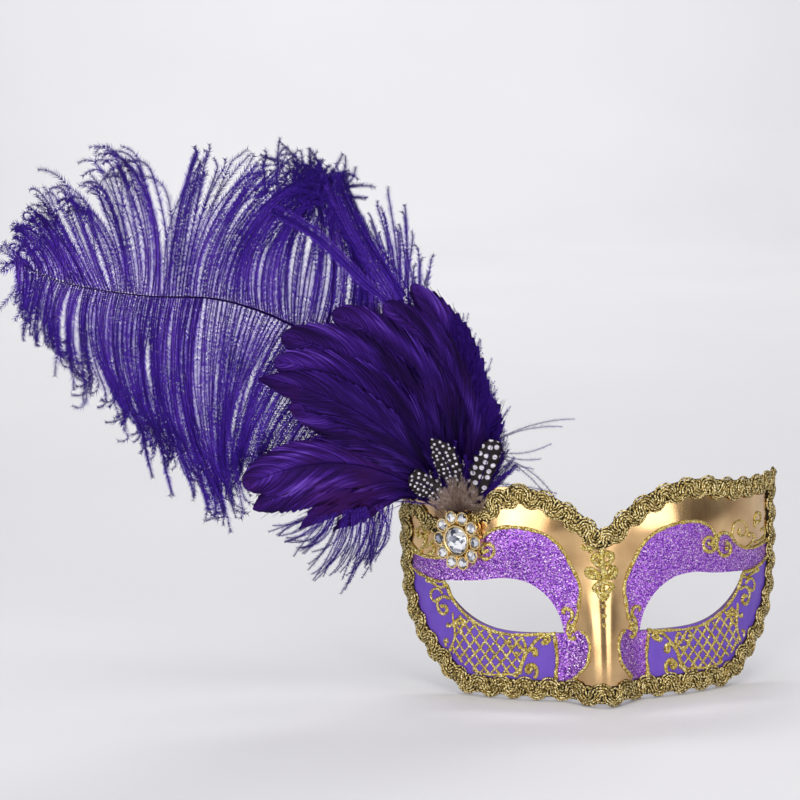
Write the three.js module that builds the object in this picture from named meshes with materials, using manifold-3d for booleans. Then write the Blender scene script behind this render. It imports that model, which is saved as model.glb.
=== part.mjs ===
// Half-face carnival mask that stands on its lower edge, with braid, a brooch, feathers and a plume.
// Millimetres, +Z up, +X to the viewer's right, +Y to the back of the mask.
// The origin is on the table, under the middle of the braid at the tip of the nose.
import * as THREE from 'three';
import { mergeVertices } from 'three/addons/utils/BufferGeometryUtils.js';
import Module from 'manifold-3d';

const wasm = await Module();
wasm.setup();

// Driving dimensions of the face
const planHalfWidth = 95;
const planDepth = 76;
const browBridgeY = 10.4;
const leanPerHeight = -0.02;
const uprightBow = 0.0006;
const bowHeight = 45;
const shellWall = 2;

// Driving dimensions of the trim
const seatGap = 0.5;
const braidWidth = 11.5;
const braidHeight = 2.4;
const braidOverhang = 1.8;
const scallopPitch = 11.6;
const scallopDepth = 1;
const standingReach = 0.6;
const broochRadius = 14.2;
const cupCount = 10;

// Driving dimensions of the feathers
const fanSeat = { u: -69.5, v: 90, lift: 1.8 };
const fanSweepDepth = 8;
const fanSweepReach = 11.5;
const vaneThickness = 0.7;
const quillWidth = 1.1;
const quillRing = 9;
const rootLayerPitch = 0.5;
const openLayerPitch = 1.3;

// Height and half width of the nose above the plan curve, by height v over the table
const noseSections = [
  { v: 0, height: 10.5, half: 21 },
  { v: 9, height: 11.5, half: 20.5 },
  { v: 31, height: 9, half: 19 },
  { v: 56, height: 4.5, half: 16 },
  { v: 76, height: 1.5, half: 15 },
  { v: 96, height: 0, half: 14 },
];

// Soft hollows and swellings of the face: middle, reach and height, mirrored to both sides
const faceSwellings = [
  { u: 48, v: 46, reachU: 26, reachV: 17, height: -3 },
  { u: 40, v: 79, reachU: 30, reachV: 12, height: 2 },
];

// Right half of the shell's outline: u along the plan curve from the middle, v over the table
const upperEdge = [
  { u: 0, v: 80.5 },
  { u: 3.5, v: 83.2 },
  { u: 9.5, v: 88.6 },
  { u: 19, v: 95.2 },
  { u: 30, v: 100 },
  { u: 42, v: 102 },
  { u: 54, v: 101.5 },
  { u: 68, v: 98.9 },
  { u: 84, v: 97.7 },
  { u: 110, v: 97 },
];
const lowerEdge = [
  { u: 110, v: 97 },
  { u: 109.5, v: 64 },
  { u: 107.5, v: 46 },
  { u: 101, v: 31.8 },
  { u: 90, v: 18.9 },
  { u: 78, v: 9 },
  { u: 72, v: 4.4 },
  { u: 67, v: 2.1 },
  { u: 62, v: 1.8 },
  { u: 40, v: 1.8 },
  { u: 0, v: 1.8 },
];

// Edge of the right eye hole, over the top from the inner corner and back underneath
const upperLid = [
  { u: 17.8, v: 32.8 },
  { u: 20.3, v: 41.8 },
  { u: 26.5, v: 51 },
  { u: 36, v: 57 },
  { u: 47, v: 58.3 },
  { u: 59, v: 56.4 },
  { u: 81, v: 54.2 },
];
const lowerLid = [
  { u: 81, v: 54.2 },
  { u: 76.2, v: 47 },
  { u: 68, v: 40 },
  { u: 57.5, v: 35 },
  { u: 46, v: 32.8 },
  { u: 17.8, v: 32.8 },
];
const eyeMiddle = new THREE.Vector2(48, 45);

// Braid ends that don't follow the outline
const browBraidEnd = [
  { u: -44, v: 97.6 },
  { u: -51, v: 94.5 },
  { u: -55.5, v: 89 },
];
const cornerBraid = [
  { u: -108.5, v: 90.5 },
  { u: -96, v: 86 },
  { u: -84.5, v: 80.5 },
];
const rimBraidTopRight = 86.2;
const rimBraidTopLeft = 82.5;

// Feathers of the fan: tip from the fan's root (across, up), sideways bow, width, layer and tip shape
const fanFeathers = [
  { across: 16, up: 54, bow: -3, width: 17, layer: -1, point: 0.5 },
  { across: -18, up: 107, bow: -17.5, width: 23, layer: 0, point: 0.5 },
  { across: -31.5, up: 98, bow: -19, width: 22, layer: 1, point: 0.5 },
  { across: -56, up: 94.5, bow: -19, width: 24, layer: 2, point: 0.5 },
  { across: -80, up: 84.5, bow: -20, width: 26, layer: 3, point: 0.5 },
  { across: -83.5, up: 73, bow: -17, width: 25, layer: 4, point: 0.5 },
  { across: -77, up: 50.5, bow: -10, width: 23, layer: 5, point: 0.5 },
  { across: -91, up: 65.5, bow: -13, width: 20, layer: 6, point: 0.9 },
  { across: -100, up: 14, bow: -16, width: 27, layer: 4.3, point: 0.5 },
  { across: -96, up: 3, bow: -13, width: 24, layer: 3.4, point: 0.5 },
  { across: -74, up: -8.5, bow: -12, width: 22, layer: 2.5, point: 0.7 },
  { across: -58, up: -10, bow: -9, width: 20, layer: 1.5, point: 0.7 },
];
const guineaFeathers = [
  { across: -23, up: 16, bow: -2, width: 15, layer: 8, point: 0.5 },
  { across: -12.5, up: 36, bow: -3, width: 15, layer: 9, point: 0.5 },
  { across: 13.5, up: 36, bow: -2, width: 14, layer: 8, point: 0.5 },
];

// Shaft of the ostrich plume, from the fan's root to its tip
const plumeShaft = [
  { across: -3, up: -1 },
  { across: -24.5, up: 37 },
  { across: -47.5, up: 66 },
  { across: -71, up: 86 },
  { across: -107, up: 101.5 },
  { across: -143, up: 105.5 },
  { across: -179, up: 113.5 },
  { across: -199.5, up: 123.5 },
];
// Locks of the plume: place along the shaft, tip of the lock and sideways bow on the way to it
const plumeUpperLocks = [
  { at: 0.29, across: -11, up: 121, bow: 5 },
  { at: 0.35, across: -17, up: 140, bow: 7 },
  { at: 0.4, across: -25, up: 153, bow: 8 },
  { at: 0.44, across: -37, up: 163, bow: 8 },
  { at: 0.49, across: -51, up: 170, bow: 8 },
  { at: 0.54, across: -69, up: 173, bow: 7 },
  { at: 0.59, across: -84, up: 168, bow: 6 },
  { at: 0.63, across: -98, up: 164, bow: 4 },
  { at: 0.67, across: -115, up: 172, bow: 2 },
  { at: 0.71, across: -137, up: 162, bow: -4 },
  { at: 0.75, across: -149, up: 167, bow: -7 },
  { at: 0.79, across: -160, up: 164, bow: -8 },
  { at: 0.84, across: -171, up: 159, bow: -8 },
  { at: 0.88, across: -184, up: 154, bow: -7 },
  { at: 0.93, across: -192, up: 147, bow: -5 },
  { at: 0.97, across: -198, up: 136, bow: -2 },
];
const plumeLowerLocks = [
  { at: 0.41, across: -88, up: 19, bow: -5 },
  { at: 0.46, across: -96, up: 5, bow: -5 },
  { at: 0.5, across: -102, up: -3, bow: -3 },
  { at: 0.54, across: -108, up: -4, bow: 0 },
  { at: 0.59, across: -116, up: 5, bow: 3 },
  { at: 0.63, across: -126, up: 10, bow: 5 },
  { at: 0.68, across: -136, up: 15, bow: 6 },
  { at: 0.72, across: -144, up: 23, bow: 6 },
  { at: 0.77, across: -155, up: 38, bow: 6 },
  { at: 0.81, across: -164, up: 52, bow: 5 },
  { at: 0.85, across: -173, up: 62, bow: 5 },
  { at: 0.89, across: -182, up: 74, bow: 4 },
  { at: 0.93, across: -190, up: 86, bow: 3 },
  { at: 0.97, across: -197, up: 98, bow: 2 },
];
const plumeLockWidth = 12;
const plumeShaftWidth = 2.2;

// Shaft and locks of the fringe that hangs under the lower feathers
const underShaft = [
  { across: -5.5, up: 1 },
  { across: -26, up: 3 },
  { across: -45, up: 2 },
  { across: -66, up: -2 },
];
const underLocks = [
  { at: 0.42, across: -38, up: -17, bow: 2 },
  { at: 0.58, across: -50, up: -30, bow: 4 },
  { at: 0.72, across: -65, up: -29, bow: 4 },
  { at: 0.88, across: -79, up: -17, bow: 3 },
  { at: 1, across: -91, up: -8, bow: 1 },
];
const underLockWidth = 8;
const underShaftWidth = 1.6;

// Locks of brown down over the quill ends: root and tip from the fan's root
const tuftLocks = [
  { rootAcross: -4, across: -16, up: 7 },
  { rootAcross: -2, across: -12, up: 14 },
  { rootAcross: 0, across: -4.5, up: 18 },
  { rootAcross: 2, across: 4, up: 19 },
  { rootAcross: 4, across: 12, up: 15 },
  { rootAcross: 6, across: 18, up: 8 },
];
const tuftLockWidth = 7;

// Finishes
const gilt = { color: 0xb98a3e, roughness: 0.3, metalness: 1 };
const gimpThread = { color: 0x7a6834, roughness: 0.5, metalness: 0.6 };
const castGold = { color: 0xc99a45, roughness: 0.25, metalness: 1 };
const crystal = { color: 0xdfe2e8, roughness: 0.05, metalness: 0 };
const violetVane = { color: 0x35186f, roughness: 0.6, metalness: 0 };
const spottedVane = { color: 0x17141a, roughness: 0.7, metalness: 0 };
const brownDown = { color: 0x8c7468, roughness: 0.9, metalness: 0 };
const violetBarbs = { color: 0x4a2fb0, roughness: 0.8, metalness: 0 };

const mask = new THREE.Group();

function addPiece(group, name, geometry, finish) {
  const mesh = new THREE.Mesh(geometry, new THREE.MeshStandardMaterial(finish));
  mesh.name = name;
  group.add(mesh);
  return mesh;
}

function smoothStep(low, high, value) {
  return THREE.MathUtils.smoothstep(value, low, high);
}

// Value of one column of a table at a place between its rows
function columnAt(rows, key, place, column) {
  let next = rows.findIndex((row) => row[key] >= place);
  if (next === -1) next = rows.length - 1;
  const high = rows[Math.max(next, 1)];
  const low = rows[Math.max(next, 1) - 1];
  const share = THREE.MathUtils.clamp((place - low[key]) / (high[key] - low[key]), 0, 1);
  return THREE.MathUtils.lerp(low[column], high[column], share);
}

function curveThrough(rows, across, up) {
  const points = rows.map((row) => new THREE.Vector3(row[across], row[up], 0));
  return new THREE.CatmullRomCurve3(points, false, 'centripetal');
}

function signedVolume(points, faces) {
  let volume = 0;
  for (let i = 0; i < faces.length; i += 3) {
    const [a, b, c] = [points[faces[i]], points[faces[i + 1]], points[faces[i + 2]]];
    volume += a.dot(new THREE.Vector3().crossVectors(b, c)) / 6;
  }
  return volume;
}

// Closed geometry with its faces turned outwards
function closedGeometry(points, faces) {
  const outward = signedVolume(points, faces) > 0 ? faces : faces.slice().reverse();
  const geometry = new THREE.BufferGeometry().setFromPoints(points);
  geometry.setIndex(outward);
  return geometry;
}

// Skin over rings of equal length, closed by a fan at each end; turned strips are split the other way
function loft(rings, turnedStrips = []) {
  const count = rings[0].length;
  const points = rings.flat();
  const faces = [];
  for (let row = 0; row + 1 < rings.length; row += 1) {
    for (let i = 0; i < count; i += 1) {
      const a = row * count + i;
      const b = row * count + ((i + 1) % count);
      if (turnedStrips.includes(i)) faces.push(a, b, a + count, b, b + count, a + count);
      else faces.push(a, b, b + count, a, b + count, a + count);
    }
  }
  const last = points.length - count;
  for (let i = 1; i + 1 < count; i += 1) {
    faces.push(0, i + 1, i, last, last + i, last + i + 1);
  }
  return closedGeometry(points, faces);
}

function toSolid(geometry) {
  const bare = geometry.clone();
  bare.deleteAttribute('normal');
  bare.deleteAttribute('uv');
  const merged = mergeVertices(bare, 1e-4);
  const vertProperties = new Float32Array(merged.attributes.position.array);
  const triVerts = new Uint32Array(merged.index.array);
  return new wasm.Manifold(new wasm.Mesh({ numProp: 3, vertProperties, triVerts }));
}

function toGeometry(solid) {
  const { vertProperties, triVerts } = solid.getMesh();
  const geometry = new THREE.BufferGeometry();
  geometry.setAttribute('position', new THREE.Float32BufferAttribute(vertProperties, 3));
  geometry.setIndex(new THREE.Uint32BufferAttribute(triVerts, 1));
  return geometry;
}

function fuse(geometries) {
  return geometries.map(toSolid).reduce((whole, part) => whole.add(part));
}

// Face surface: arc length along the plan ellipse, found on a table of small steps
const planSteps = 600;
const planArc = [0];
for (let i = 1; i <= planSteps; i += 1) {
  const angle = ((i - 0.5) / planSteps) * (Math.PI / 2);
  const speed = Math.hypot(planHalfWidth * Math.cos(angle), planDepth * Math.sin(angle));
  planArc.push(planArc[i - 1] + speed * (Math.PI / 2 / planSteps));
}

function planAngle(u) {
  const arc = Math.abs(u);
  const next = planArc.findIndex((length) => length >= arc);
  const share = next > 0 ? (arc - planArc[next - 1]) / (planArc[next] - planArc[next - 1]) : 0;
  return Math.sign(u) * ((Math.max(next, 1) - 1 + share) / planSteps) * (Math.PI / 2);
}

function relief(u, v) {
  const across = Math.min(Math.abs(u) / columnAt(noseSections, 'v', v, 'half'), 1);
  let height = columnAt(noseSections, 'v', v, 'height') * (0.5 + 0.5 * Math.cos(Math.PI * across));
  for (const swelling of faceSwellings) {
    const du = (Math.abs(u) - swelling.u) / swelling.reachU;
    const dv = (v - swelling.v) / swelling.reachV;
    height += swelling.height * Math.exp(-du * du - dv * dv);
  }
  return height;
}

// Point over the face at u along the plan, v over the table, lifted level from the surface
function facePoint(u, v, lift = 0) {
  const angle = planAngle(u);
  const normal = new THREE.Vector2(planDepth * Math.sin(angle), -planHalfWidth * Math.cos(angle));
  normal.normalize();
  const out = relief(u, v) + lift;
  const lean = leanPerHeight * v + uprightBow * (v - bowHeight) ** 2;
  const x = planHalfWidth * Math.sin(angle) + normal.x * out;
  const y = browBridgeY + planDepth * (1 - Math.cos(angle)) + lean + normal.y * out;
  return new THREE.Vector3(x, y, v);
}

function faceNormal(u, v) {
  const step = 0.5;
  const alongU = facePoint(u + step, v).sub(facePoint(u - step, v));
  const alongV = facePoint(u, v + step).sub(facePoint(u, v - step));
  return alongU.cross(alongV).normalize();
}

// Distance from the middle of the eye to a closed outline, along one direction
function reachTo(outline, angle) {
  const ray = new THREE.Vector2(Math.cos(angle), Math.sin(angle));
  let reach = 0;
  for (let i = 0; i < outline.length; i += 1) {
    const start = outline[i].clone().sub(eyeMiddle);
    const side = outline[(i + 1) % outline.length].clone().sub(outline[i]);
    const turn = ray.cross(side);
    if (Math.abs(turn) < 1e-9) continue;
    const distance = start.cross(side) / turn;
    const share = start.cross(ray) / turn;
    if (share >= -1e-9 && share <= 1 + 1e-9) reach = Math.max(reach, distance);
  }
  return reach;
}

function outlineOf(...tables) {
  const pointsPerCurve = 120;
  const curves = tables.map((rows) => curveThrough(rows, 'u', 'v').getPoints(pointsPerCurve));
  const joined = curves.flatMap((points) => points.slice(0, -1));
  return joined.map((point) => new THREE.Vector2(point.x, point.y));
}

// Directions from the middle of the eye that hit every corner, with finer steps beside the nose
function rayAngles(edge) {
  const noseStep = 4;
  const cheekStep = 10.5;
  const corners = [upperEdge[0], upperEdge.at(-1), lowerEdge.at(-1), upperLid[0], upperLid.at(-1)];
  const turns = corners.map((corner) => Math.atan2(corner.v - eyeMiddle.y, corner.u - eyeMiddle.x));
  turns.sort((a, b) => a - b);
  const angles = [];
  turns.forEach((turn, i) => {
    const next = i + 1 < turns.length ? turns[i + 1] : turns[0] + 2 * Math.PI;
    const walked = [];
    let angle = turn;
    while (angle < next) {
      walked.push(angle);
      const reach = reachTo(edge, angle);
      const u = eyeMiddle.x + reach * Math.cos(angle);
      angle += THREE.MathUtils.lerp(noseStep, cheekStep, smoothStep(16, 34, u)) / reach;
    }
    const stretch = (next - turn) / (angle - turn);
    walked.forEach((step) => angles.push(turn + (step - turn) * stretch));
  });
  return angles;
}

// Shell: rings from each eye hole to the outline, front and back, with a rim along both edges
function shellGeometry() {
  const ringCount = 5;
  const seam = 1e-3;
  const edge = [...outlineOf(upperEdge, lowerEdge), new THREE.Vector2(0, lowerEdge.at(-1).v)];
  const hole = outlineOf(upperLid, lowerLid);
  const angles = rayAngles(edge);
  const points = [];
  const faces = [];
  for (const side of [1, -1]) {
    const first = points.length;
    const place = (ray, ring, back) => first + ((ray % angles.length) * (ringCount + 1) + ring) * 2 + back;
    const onSeam = [];
    for (const angle of angles) {
      const near = reachTo(hole, angle);
      const far = reachTo(edge, angle);
      for (let ring = 0; ring <= ringCount; ring += 1) {
        const reach = THREE.MathUtils.lerp(near, far, ring / ringCount);
        const u = Math.max(eyeMiddle.x + reach * Math.cos(angle), 0);
        const v = eyeMiddle.y + reach * Math.sin(angle);
        const centred = u < seam ? 0 : u * side;
        const front = facePoint(centred, v);
        points.push(front, front.clone().addScaledVector(faceNormal(centred, v), -shellWall));
        if (ring === ringCount) onSeam.push(u < seam);
      }
    }
    const quad = (a, b, c, d) => faces.push(...(side > 0 ? [a, b, c, a, c, d] : [a, c, b, a, d, c]));
    for (let ray = 0; ray < angles.length; ray += 1) {
      const next = ray + 1;
      for (let ring = 0; ring < ringCount; ring += 1) {
        const wide = ring + 1;
        quad(place(ray, ring, 0), place(ray, wide, 0), place(next, wide, 0), place(next, ring, 0));
        quad(place(ray, ring, 1), place(next, ring, 1), place(next, wide, 1), place(ray, wide, 1));
      }
      quad(place(ray, 0, 0), place(next, 0, 0), place(next, 0, 1), place(ray, 0, 1));
      if (onSeam[ray] && onSeam[next % angles.length]) continue;
      const rim = ringCount;
      quad(place(ray, rim, 0), place(ray, rim, 1), place(next, rim, 1), place(next, rim, 0));
    }
  }
  return mergeVertices(closedGeometry(points, faces), 1e-3);
}

// Braid: a domed strip over the face along a route, with scallops on the edges that aren't stood on
const braidSection = [
  { side: -1, height: 0 },
  { side: -1, height: 0.45 },
  { side: -0.5, height: 1 },
  { side: 0.5, height: 1 },
  { side: 1, height: 0.6 },
  { side: 1, height: 0 },
  { side: 0, height: 0 },
];

function braidGeometry(route, width = braidWidth) {
  const length = route.getLength();
  const stepLength = scallopPitch / 4;
  const steps = Math.round(length / stepLength);
  const endTaper = 4;
  const rings = [];
  for (let i = 0; i <= steps; i += 1) {
    const middle = route.getPointAt(i / steps);
    const ahead = route.getTangentAt(i / steps);
    const run = (i / steps) * length;
    const toEnd = Math.min(run, length - run);
    const rounding = Math.sqrt(1 - (1 - Math.min(toEnd / endTaper, 1)) ** 2) * 0.35 + 0.65;
    rings.push(braidSection.map(({ side, height }) => {
      const phase = (2 * Math.PI * run) / scallopPitch + (side > 0 ? Math.PI : 0);
      const standing = side > 0 && middle.y - width / 2 < standingReach;
      const scallop = standing ? 0 : scallopDepth * (0.5 + 0.5 * Math.cos(phase));
      const across = side * (width / 2 - scallop) * rounding;
      const u = middle.x - ahead.y * across;
      const v = middle.y + ahead.x * across;
      const level = standing && Math.abs(side) === 1 ? 0 : v;
      return facePoint(u, level, seatGap + height * braidHeight);
    }));
  }
  return loft(rings);
}

// Route inside the shell's edge, so that the braid's outer edge hangs over it
function insetRoute(rows, from, to) {
  const curve = curveThrough(rows, 'u', 'v');
  const inset = braidWidth / 2 - braidOverhang;
  const stations = 28;
  const points = [];
  for (let i = 0; i <= stations; i += 1) {
    const share = THREE.MathUtils.lerp(from, to, i / stations);
    const point = curve.getPointAt(share);
    const ahead = curve.getTangentAt(share);
    points.push(new THREE.Vector3(point.x + ahead.y * inset, point.y - ahead.x * inset, 0));
  }
  return points;
}

function mirrored(points) {
  return points.map((point) => new THREE.Vector3(-point.x, point.y, 0)).reverse();
}

function smoothRoute(points) {
  return new THREE.CatmullRomCurve3(points, false, 'centripetal');
}

function browRoute() {
  const notchRound = 5;
  const right = insetRoute(upperEdge, 0, 1).filter((point) => point.x > notchRound);
  const endPoints = browBraidEnd.map((row) => new THREE.Vector3(row.u, row.v, 0));
  const left = mirrored(right).filter((point) => point.x > browBraidEnd[0].u + 4);
  const notch = new THREE.Vector3(0, right[0].y - notchRound * 0.55, 0);
  return smoothRoute([...endPoints.reverse(), ...left, notch, ...right]);
}

// The lower stretch is set level, so that the whole braid stands on the table
function rimRoute() {
  const right = insetRoute(lowerEdge, 0, 1);
  const rightDown = right.filter((point) => point.y <= rimBraidTopRight);
  const leftUp = mirrored(right.slice(0, -1)).filter((point) => point.y <= rimBraidTopLeft);
  const topRight = new THREE.Vector3(rightDown[0].x, rimBraidTopRight, 0);
  const topLeft = new THREE.Vector3(leftUp.at(-1).x, rimBraidTopLeft, 0);
  return smoothRoute([topRight, ...rightDown, ...leftUp, topLeft]);
}

addPiece(mask, 'mask_shell', shellGeometry(), gilt);
addPiece(mask, 'brow_braid', braidGeometry(browRoute()), gimpThread);
addPiece(mask, 'corner_braid', braidGeometry(curveThrough(cornerBraid, 'u', 'v'), 9.5), gimpThread);
addPiece(mask, 'rim_braid', braidGeometry(rimRoute()), gimpThread);

// Brooch: its own frame, with local Z out of the face and local Y up
const broochSeat = { u: -67, v: 75.5, lift: 0.1 };
const broochOval = 0.95;
const cupRingRadius = 10.6;
const cupRadius = 2.75;
const rimStoneRadius = 2.2;
const centreStoneRadius = 6.4;
const bezelRadius = 7.4;
const settingFloor = 2.6;
const cupFloor = 3.7;
const cupTop = 5;
const bezelFloor = 3.8;
const bezelTop = 5.8;
const stoneGap = 0.25;

function latheSolid(profile, sides) {
  const points = profile.map(([radius, height]) => new THREE.Vector2(radius, height));
  const geometry = new THREE.LatheGeometry(points, sides);
  return geometry.rotateX(Math.PI / 2);
}

// Cut stone with a flat back, a girdle, a crown of facets and a table
function stoneProfile(radius, height) {
  return [[0, 0], [radius * 0.9, 0], [radius, height * 0.3], [radius * 0.55, height], [0, height]];
}

// Cutter for a round pocket that is open at its top
function pocketProfile(radius, floor, top) {
  const clear = top + 1.6;
  return [[0, floor], [radius, floor], [radius, clear], [0, clear]];
}

function cupPlace(index) {
  const angle = (2 * Math.PI * (index + 0.5)) / cupCount + Math.PI / 2;
  return new THREE.Vector2(cupRingRadius * broochOval * Math.cos(angle), cupRingRadius * Math.sin(angle));
}

function settingGeometry() {
  const cups = [];
  const seats = [];
  for (let i = 0; i < cupCount; i += 1) {
    const { x, y } = cupPlace(i);
    const cup = latheSolid([[0, 0.9], [cupRadius * 0.72, 0.9], [cupRadius, cupTop], [0, cupTop]], 8);
    cups.push(cup.translate(x, y, 0));
    const seatRadius = rimStoneRadius + stoneGap;
    seats.push(latheSolid(pocketProfile(seatRadius, cupFloor, cupTop), 8).translate(x, y, 0));
  }
  const back = broochRadius - 3;
  const drum = [[0, 0], [back, 0], [back, settingFloor]];
  const bezel = [[bezelRadius, settingFloor], [bezelRadius, bezelTop], [0, bezelTop]];
  const body = latheSolid([...drum, ...bezel], 20).scale(broochOval, 1, 1);
  const pocket = pocketProfile(centreStoneRadius + stoneGap, bezelFloor, bezelTop);
  const recess = latheSolid(pocketProfile(back - 2, -1, 0), 12).scale(broochOval, 1, 1);
  const pocketSolid = toSolid(latheSolid(pocket, 16).scale(broochOval, 1, 1));
  const cast = fuse([body, ...cups]).subtract(pocketSolid).subtract(toSolid(recess));
  return toGeometry(seats.reduce((solid, seat) => solid.subtract(toSolid(seat)), cast));
}

function addBrooch() {
  const brooch = new THREE.Group();
  const outward = faceNormal(broochSeat.u, broochSeat.v).setZ(0).normalize();
  const upward = new THREE.Vector3(0, 0, 1);
  const across = new THREE.Vector3().crossVectors(upward, outward);
  brooch.quaternion.setFromRotationMatrix(new THREE.Matrix4().makeBasis(across, upward, outward));
  brooch.position.copy(facePoint(broochSeat.u, broochSeat.v, broochSeat.lift));
  addPiece(brooch, 'brooch_setting', settingGeometry(), castGold);
  const centre = latheSolid(stoneProfile(centreStoneRadius, 3.4), 16).scale(broochOval, 1, 1);
  addPiece(brooch, 'centre_stone', centre, crystal).position.z = bezelFloor + stoneGap;
  for (let i = 0; i < cupCount; i += 1) {
    const stone = addPiece(
      brooch,
      `rim_stone_${String(i + 1).padStart(2, '0')}`,
      latheSolid(stoneProfile(rimStoneRadius, 2), 8),
      crystal,
    );
    const { x, y } = cupPlace(i);
    stone.position.set(x, y, cupFloor + stoneGap);
  }
  mask.add(brooch);
}
addBrooch();

// Fan frame: across to the right, up, and depth towards the viewer, bent back to the left over the temple
const fanRoot = facePoint(fanSeat.u, fanSeat.v, fanSeat.lift);

function fanPoint(across, up, depth) {
  const back = fanSweepDepth * Math.tanh(-across / fanSweepReach);
  return new THREE.Vector3(fanRoot.x + across, fanRoot.y + back - depth, fanRoot.z + up);
}

function layerDepth(layer, run) {
  return layer * THREE.MathUtils.lerp(rootLayerPitch, openLayerPitch, smoothStep(4, 38, run));
}

// Shaft line of a feather: from the quills' ring round the root to its tip, bowed to one side
function featherSpine(feather, rootRing) {
  const rootDrop = 5;
  const tip = new THREE.Vector3(feather.across, feather.up, 0);
  const side = new THREE.Vector3(-feather.up, feather.across, 0).normalize();
  const control = tip.clone().multiplyScalar(0.5).addScaledVector(side, 2 * feather.bow);
  const heading = control.clone().normalize();
  const root = new THREE.Vector3(heading.x * rootRing, heading.y * rootRing - rootDrop, 0);
  return new THREE.QuadraticBezierCurve3(root, control, tip);
}

// Half width of a vane along its length: bare quill, widening vane and a round or pointed tip
function vaneHalf(feather, share) {
  const shoulder = 0.6;
  const spread = smoothStep(0.06, 0.5, share);
  const tipShare = Math.max((share - shoulder) / (1 - shoulder), 0);
  const rounding = (1 - tipShare ** 2) ** feather.point;
  return quillWidth / 2 + (feather.width / 2 - quillWidth / 2) * spread * rounding;
}

function featherGeometry(feather, rootRing, steps) {
  const spine = featherSpine(feather, rootRing);
  const length = spine.getLength();
  const rings = [];
  for (let i = 0; i <= steps; i += 1) {
    const share = 1 - (1 - i / steps) ** 1.25;
    const middle = spine.getPointAt(share);
    const ahead = spine.getTangentAt(share);
    const half = vaneHalf(feather, share);
    const depth = layerDepth(feather.layer, middle.length());
    const thick = vaneThickness / 2 * (1 - 0.6 * share);
    const edge = (sign) => {
      const across = sign * half;
      return fanPoint(middle.x - ahead.y * across, middle.y + ahead.x * across, depth);
    };
    const ridge = (sign) => fanPoint(middle.x, middle.y, depth + sign * thick);
    rings.push([edge(1), ridge(1), edge(-1), ridge(-1)]);
  }
  const backStrips = [2, 3];
  return loft(rings, backStrips);
}

fanFeathers.forEach((feather, i) => {
  const name = `fan_feather_${String(i + 1).padStart(2, '0')}`;
  addPiece(mask, name, featherGeometry(feather, quillRing, 11), violetVane);
});
guineaFeathers.forEach((feather, i) => {
  addPiece(mask, `guinea_feather_${i + 1}`, featherGeometry(feather, quillRing, 9), spottedVane);
});

// Lock of soft barbs: a flat strip from its shaft to a narrow tip, bowed to one side on the way
function lockGeometry(root, lock, width, depth, thickness) {
  const steps = 4;
  const tip = new THREE.Vector3(lock.across, lock.up, 0);
  const side = new THREE.Vector3(root.y - tip.y, tip.x - root.x, 0).normalize();
  const control = root.clone().lerp(tip, 0.5).addScaledVector(side, 2 * lock.bow);
  const path = new THREE.QuadraticBezierCurve3(root, control, tip);
  const rings = [];
  for (let i = 0; i <= steps; i += 1) {
    const share = i / steps;
    const middle = path.getPoint(share);
    const ahead = path.getTangent(share);
    const narrowing = Math.max((share - 0.5) / 0.5, 0);
    const half = (width / 2) * (0.5 + 0.5 * smoothStep(0, 0.5, share)) * (1 - 0.85 * narrowing ** 2);
    const taper = (thickness / 2) * (1 - 0.4 * share);
    const level = THREE.MathUtils.lerp(depth.root, depth.tip, Math.sqrt(share));
    const corner = (across, lift) => {
      return fanPoint(middle.x - ahead.y * across, middle.y + ahead.x * across, level + lift);
    };
    rings.push([corner(half, taper), corner(-half, taper), corner(-half, -taper), corner(half, -taper)]);
  }
  return loft(rings);
}

function shaftGeometry(route, width, depthAt) {
  const steps = 22;
  const sides = 6;
  const rings = [];
  for (let i = 0; i <= steps; i += 1) {
    const middle = route.getPointAt(i / steps);
    const ahead = route.getTangentAt(i / steps);
    const radius = (width / 2) * (1 - 0.65 * (i / steps));
    const ring = [];
    for (let k = 0; k < sides; k += 1) {
      const turn = (2 * Math.PI * k) / sides;
      const across = radius * Math.cos(turn);
      const depth = depthAt(i / steps) + radius * Math.sin(turn);
      ring.push(fanPoint(middle.x - ahead.y * across, middle.y + ahead.x * across, depth));
    }
    rings.push(ring);
  }
  return loft(rings);
}

// Plume: shaft and the locks of one or two tables, fused into one body
function plumeGeometry(shaftRows, lockTables, lockWidth, shaftWidth, depthAt) {
  const route = curveThrough(shaftRows, 'across', 'up');
  const pieces = [shaftGeometry(route, shaftWidth, depthAt)];
  const lockThickness = 0.6;
  const layerStep = 1.2;
  for (const rows of lockTables) {
    rows.forEach((lock, i) => {
      const level = depthAt(lock.at);
      const depth = { root: level, tip: level + ((i % 3) - 1) * layerStep };
      const root = route.getPointAt(Math.min(lock.at, 0.995));
      pieces.push(lockGeometry(root, lock, lockWidth, depth, lockThickness));
    });
  }
  return toGeometry(fuse(pieces));
}

const plumeDepth = (at) => -1.4 - 4.6 * smoothStep(0.08, 0.3, at) + 22 * smoothStep(0.45, 1, at);
const underDepth = (at) => -0.4 - 1.6 * smoothStep(0.1, 0.4, at);
const plumeLocks = [plumeUpperLocks, plumeLowerLocks];
const plume = plumeGeometry(plumeShaft, plumeLocks, plumeLockWidth, plumeShaftWidth, plumeDepth);
addPiece(mask, 'ostrich_plume', plume, violetBarbs);
const fringe = plumeGeometry(underShaft, [underLocks], underLockWidth, underShaftWidth, underDepth);
addPiece(mask, 'under_plume', fringe, violetBarbs);

// Down tuft: short locks spread over the quill ends, fused at their roots
function tuftGeometry() {
  const thickness = 1.4;
  const locks = tuftLocks.map((lock, i) => {
    const depth = { root: 5.6, tip: i % 2 === 0 ? 9.8 : 8.6 };
    const root = new THREE.Vector3(lock.rootAcross, 1.5, 0);
    return lockGeometry(root, { ...lock, bow: 0 }, tuftLockWidth, depth, thickness);
  });
  return toGeometry(fuse(locks));
}
addPiece(mask, 'down_tuft', tuftGeometry(), brownDown);

export default mask;
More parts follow.
